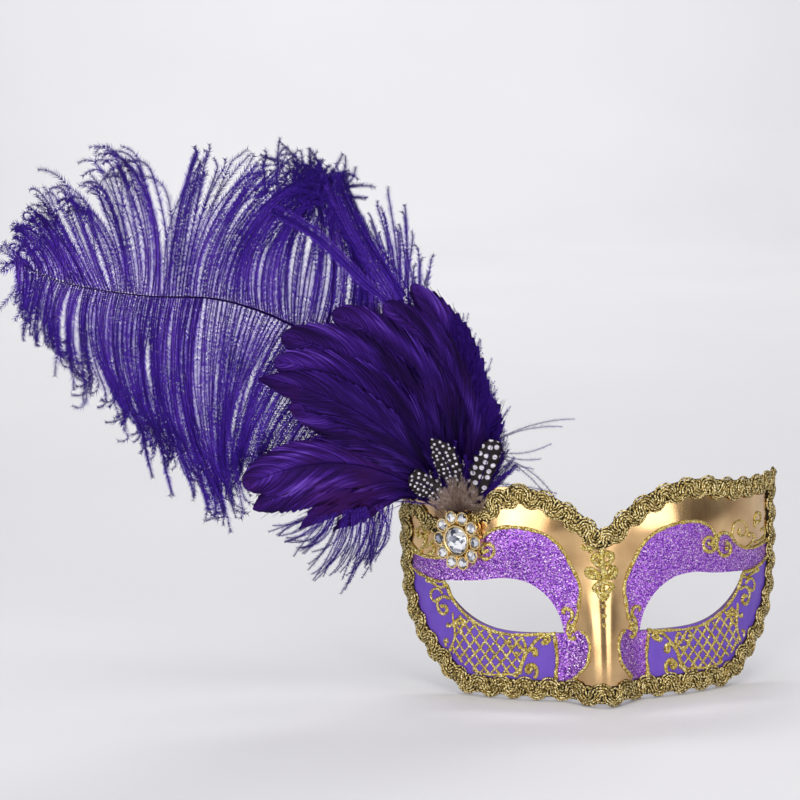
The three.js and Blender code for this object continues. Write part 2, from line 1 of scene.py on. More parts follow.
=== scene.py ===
# %% [markdown]
# This lesson dresses a half-face carnival mask of gilded papier-mache. The solids come packed in one
# frame, in metres, with the table at zero height, and every piece made here is placed in that frame.
# Lengths are kept in millimetres while we shape and turned to metres when they go into a mesh.

# %% Frame
import math
import bpy
import numpy as np
from mathutils import Matrix, Vector


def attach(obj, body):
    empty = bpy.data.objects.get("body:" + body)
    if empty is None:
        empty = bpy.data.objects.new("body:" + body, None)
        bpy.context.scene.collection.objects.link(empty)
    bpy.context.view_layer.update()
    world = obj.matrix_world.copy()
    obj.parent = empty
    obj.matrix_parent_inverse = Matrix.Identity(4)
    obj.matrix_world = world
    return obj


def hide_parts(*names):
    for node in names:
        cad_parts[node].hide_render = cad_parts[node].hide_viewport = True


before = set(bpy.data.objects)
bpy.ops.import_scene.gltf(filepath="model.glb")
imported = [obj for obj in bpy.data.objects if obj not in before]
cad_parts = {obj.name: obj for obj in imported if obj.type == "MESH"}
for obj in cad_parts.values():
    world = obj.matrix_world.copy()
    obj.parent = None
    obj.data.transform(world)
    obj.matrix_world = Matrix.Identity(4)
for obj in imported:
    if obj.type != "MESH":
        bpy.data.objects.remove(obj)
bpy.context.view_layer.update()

MM = 0.001

# %% [markdown]
# An operator works on everything that is selected, so each step first deselects all and picks its own
# object. The other helpers move points into a mesh, join objects and hand a finished piece to the frame.

# %% Helpers for objects
def pick(*objects):
    if bpy.context.mode != "OBJECT":
        bpy.ops.object.mode_set(mode="OBJECT")
    bpy.ops.object.select_all(action="DESELECT")
    for item in objects:
        item.select_set(True)
    if objects:
        bpy.context.view_layer.objects.active = objects[0]


def named(name):
    made = bpy.context.active_object
    made.name = name
    made.data.name = name
    return made


def read_points(piece):
    flat = np.empty(len(piece.data.vertices) * 3)
    piece.data.vertices.foreach_get("co", flat)
    return flat.reshape(-1, 3)


def set_points(piece, points_mm):
    piece.data.vertices.foreach_set("co", (np.asarray(points_mm) * MM).ravel())
    piece.data.update()


def mark(piece, name, values):
    layer = piece.data.attributes.new(name, "FLOAT", "POINT")
    layer.data.foreach_set("value", np.asarray(values, dtype=np.float32))


def apply_modifier(piece, kind, **settings):
    pick(piece)
    modifier = piece.modifiers.new(kind.title(), kind)
    for key, value in settings.items():
        setattr(modifier, key, value)
    bpy.ops.object.modifier_apply(modifier=modifier.name)


def join(name, pieces):
    pick(*pieces)
    if len(pieces) > 1:
        bpy.ops.object.join()
    return named(name)


def hand_over(piece, slot, *nodes):
    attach(piece, "root")
    if nodes:
        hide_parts(*nodes)
    piece.data.calc_loop_triangles()
    print(piece.name, len(piece.data.loop_triangles), "triangles")
    return piece


# %% [markdown]
# Two shapes come back all the time: a smooth curve through a few given points, and a round line such
# as a cord or a shaft. The curve is a centripetal spline, which never overshoots at close points. The
# round line starts as a bezier primitive whose points are replaced, gets a bevel and becomes a mesh.

# %% Helpers for curves and lines
def smooth_through(rows, steps=24):
    points = np.array(rows, float)
    points = np.vstack([2 * points[0] - points[1], points, 2 * points[-1] - points[-2]])
    made = []
    for four in zip(points, points[1:], points[2:], points[3:]):
        knots = np.cumsum([0] + [np.linalg.norm(q - p) ** 0.5 for p, q in zip(four, four[1:])])
        t = np.linspace(knots[1], knots[2], steps, endpoint=False)[:, None]
        for pairs in (((0, 1), (1, 2), (2, 3)), ((0, 2), (1, 3)), ((1, 2),)):
            four = [((knots[j] - t) * four[k] + (t - knots[i]) * four[k + 1]) / (knots[j] - knots[i])
                    for k, (i, j) in enumerate(pairs)]
        made.append(four[0])
    made.append(points[-2:-1])
    return np.vstack(made)


def run_along(points):
    return np.concatenate([[0], np.cumsum(np.linalg.norm(np.diff(points, axis=0), axis=1))])


def row_at(table, at):
    return np.stack([np.interp(at, table[:, 0], column) for column in table.T[1:]], -1)


def resample(points, count):
    run = run_along(points)
    return row_at(np.column_stack([run, points]), np.linspace(0, run[-1], count))


def headings(points):
    ahead = np.gradient(points, axis=0)
    return ahead / np.linalg.norm(ahead, axis=1, keepdims=True)


def smooth_step(low, high, value):
    t = np.clip((value - low) / (high - low), 0, 1)
    return t * t * (3 - 2 * t)


def round_lines(name, lines, radii, sides=2):
    pick()
    bpy.ops.curve.primitive_bezier_curve_add()
    made = named(name)
    curve = made.data
    curve.splines.clear()
    curve.dimensions = "3D"
    curve.bevel_depth = MM
    curve.bevel_resolution = sides
    curve.use_fill_caps = sides > 0
    for line, radius in zip(lines, radii):
        spline = curve.splines.new("POLY")
        spline.points.add(len(line) - 1)
        place = np.concatenate([np.asarray(line) * MM, np.ones((len(line), 1))], 1)
        spline.points.foreach_set("co", place.ravel())
        spline.points.foreach_set("radius", np.broadcast_to(radius, len(line)).astype(float))
    pick(made)
    bpy.ops.object.convert(target="MESH")
    return named(name)


# %% [markdown]
# Materials are described by what they are: a hex colour read from the object, a metallic and roughness
# value typical for the stuff, and patterns whose size is given in millimetres. One function sets sockets to
# a link or a value and one adds a node. Plain stuffs share one recipe: a noise of the right size tints them
# and may press a grain into them.

# %% Helpers for materials
PRESS_MM = 0.4


def linear(code):
    parts = [int(code[i:i + 2], 16) / 255 for i in (1, 3, 5)]
    parts = [p / 12.92 if p <= 0.04045 else ((p + 0.055) / 1.055) ** 2.4 for p in parts]
    return (*parts, 1.0)


def per_mm(size_mm):
    return 1000 / size_mm


def feed(tree, node, **inputs):
    for key, value in inputs.items():
        number = key[1:]
        socket = node.inputs[int(number) if number.isdigit() else key.replace("_", " ")]
        if isinstance(value, tuple) and isinstance(value[0], bpy.types.Node):
            tree.links.new(value[0].outputs[value[1]], socket)
        else:
            socket.default_value = value


def add(tree, kind, settings=None, stops=(), **inputs):
    node = tree.nodes.new("ShaderNode" + kind)
    for key, value in (settings or {}).items():
        setattr(node, key, value)
    for spare in stops[2:]:
        node.color_ramp.elements.new(0.5)
    for i, (place, code) in enumerate(stops):
        node.color_ramp.elements[i].position = place
        node.color_ramp.elements[i].color = linear(code)
    feed(tree, node, **inputs)
    return node


def finish(name):
    material = bpy.data.materials.new(name)
    material.use_nodes = True
    return material, material.node_tree, material.node_tree.nodes["Principled BSDF"]


def mottled(name, size_mm, stops, detail=2.0, grain=0.5, press=0.0, **values):
    material, tree, shader = finish(name)
    place = add(tree, "TexCoord")
    noise = add(tree, "TexNoise", Vector=(place, "Object"), Scale=per_mm(size_mm), Detail=detail,
                Roughness=grain)
    tint = add(tree, "ValToRGB", stops=stops, Fac=(noise, "Fac"))
    feed(tree, shader, Base_Color=(tint, 0), **values)
    if press:
        pressed = add(tree, "Bump", Height=(noise, "Fac"), Strength=press, Distance=PRESS_MM * MM)
        feed(tree, shader, Normal=(pressed, 0))
    return material


# %% [markdown]
# The photograph was taken from just above the brow, a little to the left of the nose and with a long
# lens from about 1.1 m. The camera gets that place and a small roll, so the render can be laid over it.

# %% Camera
target = Vector((-91.97, 22.4, 144.27)) * MM
azimuth, elevation, roll = (math.radians(a) for a in (-2.49, 9.0, -1.285))
distance = 1.1
back = Vector((math.sin(azimuth) * math.cos(elevation), -math.cos(azimuth) * math.cos(elevation),
               math.sin(elevation)))
level = (-back).cross(Vector((0, 0, 1))).normalized()
upright = level.cross(-back)
right = level * math.cos(roll) + upright * math.sin(roll)
up = upright * math.cos(roll) - level * math.sin(roll)
pick()
bpy.ops.object.camera_add()
camera = named("camera")
camera.data.sensor_width = 36
camera.data.lens = 106.4
turned = Matrix((right, up, back)).transposed().to_4x4()
camera.matrix_world = Matrix.Translation(target + back * distance) @ turned
bpy.context.scene.camera = camera
bpy.context.scene.view_settings.view_transform = "Standard"
print("camera at", [round(v, 3) for v in camera.matrix_world.translation])

# %% [markdown]
# The whole mask is drawn on one curved surface. In plan it is half an ellipse, u is the arc length along
# it from the nose and v the height over the table. The nose, the eye hollows and the brows are added as
# relief. Everything on the face, from the shell to the last curl of glue, is placed with face_point.

# %% Face surface
PLAN_WIDTH, PLAN_DEPTH, BRIDGE_Y = 95.0, 76.0, 10.4
LEAN, BOW, BOW_HEIGHT = -0.02, 0.0006, 45.0
NOSE_V = [0, 9, 31, 56, 76, 96]
NOSE_HEIGHT = [12.4, 12.2, 8.6, 4.0, 1.8, 0]
NOSE_HALF = [21, 20.5, 19, 16, 15, 14]
# Each swelling: middle u and v, reach along u and v, rise; first the eye hollow, then the brow
SWELLINGS = [(48, 46, 26, 17, -3), (40, 79, 30, 12, 2)]
nose_v, nose_height, nose_half = smooth_through(list(zip(NOSE_V, NOSE_HEIGHT, NOSE_HALF)), 12).T
angle_table = np.linspace(0, math.pi / 2, 2001)
speed = np.hypot(PLAN_WIDTH * np.cos(angle_table), PLAN_DEPTH * np.sin(angle_table))
arc_table = np.concatenate([[0], np.cumsum((speed[1:] + speed[:-1]) / 2 * np.diff(angle_table))])


def relief(u, v):
    across = np.minimum(np.abs(u) / np.interp(v, nose_v, nose_half), 1)
    height = np.interp(v, nose_v, nose_height) * (0.5 + 0.5 * np.cos(np.pi * across))
    for su, sv, reach_u, reach_v, rise in SWELLINGS:
        height = height + rise * np.exp(-((np.abs(u) - su) / reach_u) ** 2 - ((v - sv) / reach_v) ** 2)
    return height


def face_point(u, v, lift=0.0):
    u, v = np.asarray(u, float), np.asarray(v, float)
    angle = np.sign(u) * np.interp(np.abs(u), arc_table, angle_table)
    nx, ny = PLAN_DEPTH * np.sin(angle), -PLAN_WIDTH * np.cos(angle)
    length = np.hypot(nx, ny)
    out = (relief(u, v) + lift) / length
    x = PLAN_WIDTH * np.sin(angle) + nx * out
    y = BRIDGE_Y + PLAN_DEPTH * (1 - np.cos(angle)) + LEAN * v + BOW * (v - BOW_HEIGHT) ** 2 + ny * out
    return np.stack([x, y, v], -1)


print("nose tip", face_point(0, 9).round(1), "temple", face_point(110, 60).round(1))

# %% [markdown]
# The shell is pressed from layers of paper over a form, and its edge and the eye holes are cut with a
# knife. Both outlines were read off the photograph as points (u, v) of one half. Rays from the middle of
# the eye meet each outline once, so a ray and a share of the way from hole to edge give every place.

# %% Outlines of the shell
UPPER_EDGE = [(0, 80.5), (3.5, 83.2), (9.5, 88.6), (19, 95.2), (30, 100), (42, 102), (54, 101.5),
              (68, 98.9), (84, 97.7), (110, 97)]
LOWER_EDGE = [(110, 97), (109.5, 64), (107.5, 46), (101, 31.8), (90, 18.9), (78, 9), (72, 4.4),
              (67, 2.1), (62, 1.8), (40, 1.8), (0, 1.8)]
UPPER_LID = [(17.8, 32.8), (20.3, 41.8), (26.5, 51), (36, 57), (47, 58.3), (59, 56.4), (81, 54.2)]
LOWER_LID = [(81, 54.2), (76.2, 47), (68, 40), (57.5, 35), (46, 32.8), (17.8, 32.8)]
EYE_MIDDLE = np.array([48.0, 45.0])
RAYS, RINGS, FINE_RAYS, TINY = 264, 44, 2000, 1e-9
outline = np.vstack([smooth_through(UPPER_EDGE)[:-1], smooth_through(LOWER_EDGE)])
eye_hole = np.vstack([smooth_through(UPPER_LID)[:-1], smooth_through(LOWER_LID)[:-1]])


def reach_to(polygon, angle):
    ray = np.array([math.cos(angle), math.sin(angle)])
    start = polygon - EYE_MIDDLE
    side = np.roll(polygon, -1, axis=0) - polygon
    turn = ray[0] * side[:, 1] - ray[1] * side[:, 0]
    turn = np.where(np.abs(turn) < TINY, TINY, turn)
    far = (start[:, 0] * side[:, 1] - start[:, 1] * side[:, 0]) / turn
    share = (start[:, 0] * ray[1] - start[:, 1] * ray[0]) / turn
    return far[(share >= -TINY) & (share <= 1 + TINY)].max()


def ray_angles(count):
    corners = [UPPER_EDGE[0], UPPER_EDGE[-1], LOWER_EDGE[-1], UPPER_LID[0], UPPER_LID[-1]]
    fixed = sorted(math.atan2(v - EYE_MIDDLE[1], u - EYE_MIDDLE[0]) for u, v in corners)
    fine = np.linspace(fixed[0], fixed[0] + 2 * math.pi, FINE_RAYS)
    walked = np.array([reach_to(outline, a) for a in fine])
    run = np.concatenate([[0], np.cumsum(walked[1:] * np.diff(fine))])
    angles = np.interp(np.linspace(0, run[-1], count, endpoint=False), run, fine)
    for corner in fixed[1:]:
        angles[np.argmin(np.abs(angles - corner))] = corner
    return angles


angles = ray_angles(RAYS)
near = np.array([reach_to(eye_hole, a) for a in angles])
far = np.array([reach_to(outline, a) for a in angles])
print("outline", outline.shape, "eye hole", eye_hole.shape)

# %% [markdown]
# Both cut edges are smooth curves, so the mesh should run in rings from the one to the other. We start with
# a circle for the eye, copy it larger for the outline and bridge the two with many cuts. Each point then
# slides along its ray onto the face surface. A grid would leave steps along both edges.

# %% Shell from two circles
SEAM_MM = 0.001
pick()
bpy.ops.mesh.primitive_circle_add(vertices=RAYS, radius=1)
shell = named("gilded_shell")
bpy.ops.object.mode_set(mode="EDIT")
bpy.ops.mesh.select_all(action="SELECT")
bpy.ops.mesh.duplicate()
bpy.ops.transform.resize(value=(2, 2, 2))
bpy.ops.mesh.select_all(action="SELECT")
bpy.ops.mesh.bridge_edge_loops(number_cuts=RINGS - 1, interpolation="LINEAR")
bpy.ops.object.mode_set(mode="OBJECT")
flat = read_points(shell)
ray = np.round(np.arctan2(flat[:, 1], flat[:, 0]) / (2 * math.pi) * RAYS).astype(int) % RAYS
ring = np.round((np.hypot(flat[:, 0], flat[:, 1]) - 1) * RINGS) / RINGS
reach = near[ray] + (far[ray] - near[ray]) * ring
shell_u = np.maximum(EYE_MIDDLE[0] + reach * np.cos(angles[ray]), 0)
shell_u[shell_u < SEAM_MM] = 0
shell_v = EYE_MIDDLE[1] + reach * np.sin(angles[ray])
set_points(shell, face_point(shell_u, shell_v))
print("half shell", len(flat), "points")

# %% [markdown]
# The paint zones are told apart by signed distances in millimetres, kept as attributes on the points: one
# for the violet glitter over brow and nose flank, one for the plain violet of the cheeks. A distance
# blends evenly between points, so a zone's edge stays crisp in the material without more faces.

# %% Paint zones
BAND_TOP = [(10.9, 48.8), (10.2, 52.7), (11.1, 58.2), (12.6, 61.9), (15.1, 67), (16.9, 70.8), (19.7, 75.4),
            (22.5, 78.1), (26.4, 80.7), (30.8, 82.3), (35.3, 83.3), (40, 83.8), (44.2, 83.6), (48.6, 82.8),
            (52.6, 80.9), (55.6, 78.1), (57.7, 74.4), (58.5, 72.3)]
BAND_TAIL = [(58.5, 72.3), (60.1, 75), (62.7, 75.6), (66.2, 74.5), (69.2, 72.1), (73.1, 68.5), (77.8, 65.9),
             (82.8, 64.8), (89.2, 64.4), (95.7, 64.8), (102.6, 65.4), (110, 66.2)]
BAND_LOW = [(78.6, 53.7), (83.3, 53.4), (89.5, 54.1), (95.9, 55.3), (102.7, 57.4), (109, 60)]
NOSE_PATCH = [(13.2, 34.6), (10.4, 34.8), (8.2, 33.4), (7, 30.9), (6.4, 27.7), (6.9, 24.3), (7.3, 20.9),
              (8.8, 17.6), (11, 14.6), (13.2, 11.6)]
EYE_LOW = [(77.9, 52.9), (76.5, 49.1), (74.5, 45.5), (71.1, 41.6), (67, 38.4), (63.1, 36), (58, 33.9),
           (53.1, 32.2), (48.4, 31.4), (43.2, 31.1), (36.6, 31.4), (28.1, 32.1), (22, 32.5)]
glitter_band = BAND_TOP + BAND_TAIL[1:] + [(116, 67), (116, 62)] + BAND_LOW[::-1] + [
    (60, 46), (40, 44), (18, 33), (14.3, 33), (11.8, 42)]
glitter_patch = NOSE_PATCH + [(14, 2), (21.8, 2), (21.8, 14), (21.3, 18.5), (21.4, 23.4), (22.2, 32.5),
                              (17, 35)]
violet_cheek = [(22, 32.5), (21.4, 23.4), (21.3, 18.5), (21.8, 14), (21.8, -6), (120, -6), (120, 64)] + [
    *BAND_LOW[::-1], (60, 46), (40, 40)]


def inside_by(polygon, u, v):
    corner = np.array(polygon, float)
    following = np.roll(corner, -1, axis=0)
    point = np.stack([u, v], 1)[:, None, :]
    along = following - corner
    share = ((point - corner) * along).sum(2) / (along ** 2).sum(1)
    nearest = corner + np.clip(share, 0, 1)[..., None] * along
    distance = np.linalg.norm(point - nearest, axis=2).min(1)
    straddles = (corner[:, 1] > point[..., 1]) != (following[:, 1] > point[..., 1])
    rise = np.where(along[:, 1] == 0, TINY, along[:, 1])
    cross_u = corner[:, 0] + (point[..., 1] - corner[:, 1]) / rise * along[:, 0]
    inside = (straddles & (point[..., 0] < cross_u)).sum(1) % 2 == 1
    return np.where(inside, distance, -distance)


mark(shell, "glitter_mm", np.maximum(inside_by(glitter_band, shell_u, shell_v),
                                     inside_by(glitter_patch, shell_u, shell_v)))
mark(shell, "violet_mm", inside_by(violet_cheek, shell_u, shell_v))

# %% [markdown]
# The other half is the first one mirrored, welded along the middle of the nose. The wall then grows
# inwards from the painted face, as paper is laid into a form, with one material slot for the front, one for
# the lining and one for the cut edge.

# %% Mirror and wall
SHELL_WALL, WELD, SMOOTH_BELOW = 2.0, 1e-5, math.radians(40)
apply_modifier(shell, "MIRROR", merge_threshold=WELD)
bpy.ops.object.mode_set(mode="EDIT")
bpy.ops.mesh.select_all(action="SELECT")
bpy.ops.mesh.remove_doubles(threshold=WELD)
bpy.ops.mesh.normals_make_consistent(inside=False)
bpy.ops.object.mode_set(mode="OBJECT")
middle_face = min(shell.data.polygons, key=lambda f: (f.center - Vector((0, 0, 0.06))).length)
if middle_face.normal.y > 0:
    bpy.ops.object.mode_set(mode="EDIT")
    bpy.ops.mesh.flip_normals()
    bpy.ops.object.mode_set(mode="OBJECT")
for slot in range(3):
    shell.data.materials.append(None)
apply_modifier(shell, "SOLIDIFY", thickness=SHELL_WALL * MM, offset=-1, use_even_offset=True,
               material_offset=1, material_offset_rim=2)
pick(shell)
bpy.ops.object.shade_smooth_by_angle(angle=SMOOTH_BELOW)
print("shell", len(shell.data.vertices), "points", [a.name for a in shell.data.attributes])

# %% [markdown]
# The front of the shell carries three finishes. Metal leaf under varnish is a true metal to the eye, with
# fine brush streaks and a soft mirror. The glitter is a coat of tiny violet flakes that lie at all angles,
# each a small mirror, so every flake gets its own normal. The cheeks are plain satin paint.

# %% Leaf, glitter and paint
ZONE_EDGE_MM = 0.15


def flakes(tree, size_mm, tilt):
    place = add(tree, "TexCoord")
    cells = add(tree, "TexVoronoi", Vector=(place, "Object"), Scale=per_mm(size_mm))
    spread = add(tree, "VectorMath", {"operation": "SUBTRACT"}, _0=(cells, "Color"),
                 _1=(0.5, 0.5, 0.5))
    sized = add(tree, "VectorMath", {"operation": "SCALE"}, _0=(spread, 0), Scale=tilt)
    surface = add(tree, "NewGeometry")
    tilted = add(tree, "VectorMath", {"operation": "ADD"}, _0=(surface, "Normal"), _1=(sized, 0))
    normal = add(tree, "VectorMath", {"operation": "NORMALIZE"}, _0=(tilted, 0))
    return add(tree, "SeparateColor", Color=(cells, "Color")), normal


def zone(tree, attribute):
    edge = add(tree, "Attribute", {"attribute_name": attribute})
    return add(tree, "MapRange", Value=(edge, "Fac"), From_Min=-ZONE_EDGE_MM, From_Max=ZONE_EDGE_MM)


front, tree, shader = finish("gold_leaf_glitter_and_satin_paint")
place = add(tree, "TexCoord")
# Brush streaks of the varnish are about 2.4 mm wide and 20 mm long, patches of leaf 18 mm
streak_map = add(tree, "Mapping", Vector=(place, "Object"), Scale=(1.0, 1.0, 0.12))
streaks = add(tree, "TexNoise", Vector=(streak_map, 0), Scale=per_mm(2.4), Detail=4)
patches = add(tree, "TexNoise", Vector=(place, "Object"), Scale=per_mm(18), Detail=2)
leaf = add(tree, "ValToRGB", stops=[(0.3, "#B48644"), (0.7, "#E0B878")], Fac=(patches, "Fac"))
# Flakes of 0.2 mm are too fine to show, so they are drawn about 0.5 mm across
flake_tone, flake_normal = flakes(tree, 0.46, 0.68)
flake = add(tree, "ValToRGB", Fac=(flake_tone, "Red"),
            stops=[(0.0, "#440F82"), (0.45, "#8A3EBE"), (0.84, "#C488E6"), (1.0, "#FFECFF")])
mottle = add(tree, "TexNoise", Vector=(place, "Object"), Scale=per_mm(6), Detail=3)
paint = add(tree, "ValToRGB", stops=[(0.3, "#6440B4"), (0.7, "#6E4ABE")], Fac=(mottle, "Fac"))
glitter, violet = zone(tree, "glitter_mm"), zone(tree, "violet_mm")
colour, vector = {"data_type": "RGBA"}, {"data_type": "VECTOR"}
painted = add(tree, "Mix", colour, _0=(violet, 0), _6=(leaf, 0), _7=(paint, 0))
coloured = add(tree, "Mix", colour, _0=(glitter, 0), _6=(painted, 2), _7=(flake, 0))
bare_leaf = add(tree, "Mix", _0=(violet, 0), _2=1.0, _3=0.0)
metal = add(tree, "Mix", _0=(glitter, 0), _2=(bare_leaf, 0), _3=0.7)
varnish = add(tree, "Mix", _0=(glitter, 0), _2=(bare_leaf, 0), _3=0.1)
leaf_rough = add(tree, "MapRange", Value=(streaks, "Fac"), To_Min=0.12, To_Max=0.27)
rough_part = add(tree, "Mix", _0=(violet, 0), _2=(leaf_rough, 0), _3=0.42)
rough = add(tree, "Mix", _0=(glitter, 0), _2=(rough_part, 0), _3=0.34)
brushed = add(tree, "Bump", Height=(streaks, "Fac"), Strength=0.12, Distance=0.3 * MM)
normal = add(tree, "Mix", vector, _0=(glitter, 0), _4=(brushed, 0), _5=(flake_normal, 0))
feed(tree, shader, Base_Color=(coloured, 2), Metallic=(metal, 0), Roughness=(rough, 0), Normal=(normal, 1),
     Coat_Weight=(varnish, 0), Coat_Roughness=0.18, Coat_IOR=1.85)
print(front.name, len(tree.nodes), "nodes")

# %% [markdown]
# Inside, the paper is sealed with dark matt paint that shows a little of the paper's grain, and the cut
# edge of the wall keeps a worn violet brown from the colours that ran over it.

# %% Lining and cut edge
lining = mottled("sealed_paper_lining", 1.6, [(0.3, "#1D1920"), (0.7, "#2E2830")], 5, press=0.4,
                 Roughness=0.75)
cut_edge = mottled("painted_paper_edge", 2.5, [(0.35, "#4B2A78"), (0.65, "#7B5A68")], 4, Roughness=0.6)
for slot, material in enumerate((front, lining, cut_edge)):
    shell.data.materials[slot] = material
hand_over(shell, "gilded_papier", "mask_shell")

# %% [markdown]
# The drawing on the face is squeezed from a tube of gold glitter glue, so each line is a raised bead that
# swells and thins. The lines were read off one half of the face as points (u, v), are rounded with the
# smooth curve and mirrored to the other half. Thin beads cross in a lattice under the outer eye.

# %% Lines of glitter glue
# Each line: radius of the bead in mm and the points it runs through
SIDE_LINES = [
    (0.8, [(15.8, 30.3), (14.8, 32.9), (13.8, 35.9), (12.8, 39), (11.8, 42), (11.3, 45.4), *BAND_TOP]),
    (0.85, [(58.5, 72.3), (58.2, 69.3), (56.1, 67.4), (53, 68.1), (50.8, 70.9), (51.1, 73.8), (53.3, 75),
            (55.9, 73.6), (56.4, 71.4), (55.1, 70.2)]),
    (0.85, [(58.5, 72.3), (59.6, 68.6), (61.9, 65.3), (65.3, 63.8), (67.8, 64.9), (68.2, 67.8), (66.6, 70),
            (64.5, 70.2)]),
    (0.7, BAND_TAIL[:-1]),
    (0.75, BAND_LOW[:-1]),
    (0.75, EYE_LOW),
    (0.85, [(22.5, 31.5), (21.9, 27.7), (21.4, 23.4), (21.3, 18.5), (21.8, 14), (21.8, 10.6)]),
    (0.75, NOSE_PATCH[1:]),
    (0.8, [(17.6, 42.1), (18.4, 43.9), (17.2, 44.8), (15.1, 44.3), (14, 42.5), (14.5, 40.1), (16, 37.9),
           (16, 35.5), (14.3, 34.4), (12.7, 35.2)]),
    (0.75, [(13.3, 37.9), (14.9, 36.7), (16.5, 34.5), (15.9, 32.2), (14.2, 30.6), (12.5, 31.5)]),
    (0.8, [(28.1, 31), (26.1, 31.6), (24.5, 30.4), (25.5, 28.3), (27.5, 27.6), (28.4, 29)]),
    (0.75, [(25.5, 30.7), (28.6, 30.9), (31.7, 28.6), (33.7, 26), (35.7, 22.9), (37.2, 19.8), (38.3, 16.2),
            (39.3, 12.6)]),
    (0.85, [(35.7, 22.9), (33.7, 25.1), (31.6, 24.8), (31, 22.9), (32.5, 21.8)]),
    (0.7, [(38.2, 30.3), (37, 28), (36.3, 25.2), (36.8, 22.3), (37.8, 19.2), (38.8, 16.1), (39.9, 13),
           (41.5, 10.9)]),
    (0.9, [(32, 10.6), (30.9, 13.1), (31.4, 16), (33, 17.3), (35.1, 16.6), (36.1, 14.5), (35.1, 13.1),
           (33.7, 14.3)]),
    (0.6, [(74.4, 39.1), (74.2, 35.2), (73.3, 31.4), (73.1, 27.5), (74.4, 23.3), (75.8, 20)]),
    (0.7, [(73.4, 34.4), (75.5, 32.5), (77.2, 31.8), (76.6, 33.4)]),
    (0.7, [(78.2, 21.5), (78.6, 24.5), (76.9, 25)]),
    (0.75, [(68.6, 32.7), (67.5, 35.4), (69.5, 36.5), (72.1, 35.6), (72.7, 33.5)]),
    (0.6, [(68, 33.8), (69.8, 31.6), (69, 29.2)]),
    (0.75, [(75.9, 45.3), (78.8, 46.3), (81.8, 45.2), (83.5, 42.4), (82.6, 39.1), (80.2, 37.6), (77.9, 39),
            (78, 41), (79.5, 42)]),
    (0.7, [(80.3, 47.5), (82.6, 49.5), (86, 48.9), (87.8, 46), (86.9, 43.7), (84.3, 43.2), (82.8, 45)]),
    (0.7, [(78.6, 53.7), (79.6, 51), (81.8, 50.7), (85.9, 51.9), (90.5, 52.9)]),
    (0.65, [(40.4, 11.5), (44.8, 11.9), (49.3, 11.2), (53.9, 10.9), (58.8, 11.2), (62.6, 12.5)]),
]
TEMPLE_LINES = [
    (0.52, [(70.3, 69.5), (68.9, 74.6), (70.3, 78.8), (74.1, 79.8), (78.7, 77.4), (80.2, 73.5),
            (76.9, 71.6), (73.6, 73.8), (74.8, 75.7)]),
    (0.52, [(87.7, 73.8), (86.9, 78), (89.4, 80.8), (92.9, 79.7), (93.9, 77.1), (91.1, 75.6)]),
    (0.52, [(74, 68.1), (79.3, 65.9), (84.8, 67), (87, 69.8), (83.2, 72.2), (81.6, 70.2)]),
    (0.52, [(88, 66.6), (95, 66.9), (99.2, 69.1), (97.6, 72), (94.6, 71.2)]),
    (0.75, [(-92.7, 69.5), (-90.3, 72.3), (-90.2, 75.4), (-91.6, 77.9), (-94.2, 78.1), (-96.7, 76.1),
            (-96.2, 73.8), (-94.1, 73.3), (-92.7, 75.2)]),
    (0.75, [(-94.4, 67.7), (-90.7, 69.1), (-87.6, 71), (-85, 70.5), (-84.5, 68.3), (-86, 66.4),
            (-88.1, 66.9)]),
    (0.7, [(-87.6, 71.1), (-83.3, 73.6), (-80.1, 73), (-79, 70.5)]),
    (0.8, [(-103.1, 69.5), (-100.1, 67.6), (-96.7, 66.1), (-93.5, 66.2)]),
]
NOSE_LINES = [
    (0.95, [(0, 74.5), (-0.6, 70), (0, 66), (0.4, 62), (0, 58), (-0.3, 54), (0, 49.6)]),
    (0.9, [(-1, 66), (-3.4, 67.5), (-4.4, 70), (-2.8, 71.6), (-1.4, 70)]),
    (0.9, [(1, 66), (3.6, 67.8), (4.6, 70.2), (2.8, 71.8), (1.4, 70)]),
    (0.9, [(-0.6, 61.8), (-3, 62.6), (-5.4, 64.4), (-7, 63.6), (-6.2, 61.4), (-4, 60.6), (-1, 60.8)]),
    (0.9, [(0.6, 61.8), (3, 63), (4.6, 65), (6, 64), (5.6, 61.4), (3.6, 60.2), (1, 60.6)]),
    (0.95, [(-0.4, 57.8), (-2.6, 57.4), (-4.2, 55), (-2.2, 53.4), (-0.6, 51.5)]),
    (0.95, [(0.4, 57.8), (2.4, 57.6), (4.4, 55.6), (2.2, 53.8), (0.6, 51.5)]),
    (0.8, [(-9.6, 75.6), (-8, 73.8), (-6, 74.2), (-4.4, 72.6)]),
]
NOSE_DOTS = [(0, 47.2), (0, 42.6), (0, 38.4)]
PANEL_DOTS = [(40.8, 27.6), (42.8, 25.4), (40.5, 22.4), (44.3, 27.6), (38.9, 25.4), (68.8, 34.6),
              (70.6, 34.2), (33.6, 15.2), (26.8, 29.4), (32.4, 23.3), (54.2, 71.6), (65.4, 67.6),
              (88.6, 76.5), (80.6, 41.4)]
LATTICE_PANEL = [(38.5, 30), (44.3, 30.5), (51.2, 31), (57.9, 32.9), (63.7, 35.5), (68.9, 37.6), (73, 38.6),
                 (74.2, 35.2), (73.3, 31.4), (73.1, 27.5), (74.4, 23.3), (75.4, 20), (72.9, 17.1),
                 (65.9, 13.9), (58.2, 10.8), (49.3, 11.2), (40.4, 12.5), (38.3, 16.2), (36.8, 22.3), (37, 28)]
LATTICE_PITCH, LATTICE_SLOPE = 5.4, 1.25
print(len(SIDE_LINES), "lines on each side,", len(TEMPLE_LINES) + len(NOSE_LINES), "at temples and nose")

# %% [markdown]
# A bead from a tube is never even: it starts thin, swells where the hand slows down and ends in a blob.
# Each line is cut into short steps and its radius wanders. The nose is drawn with a fuller bead.

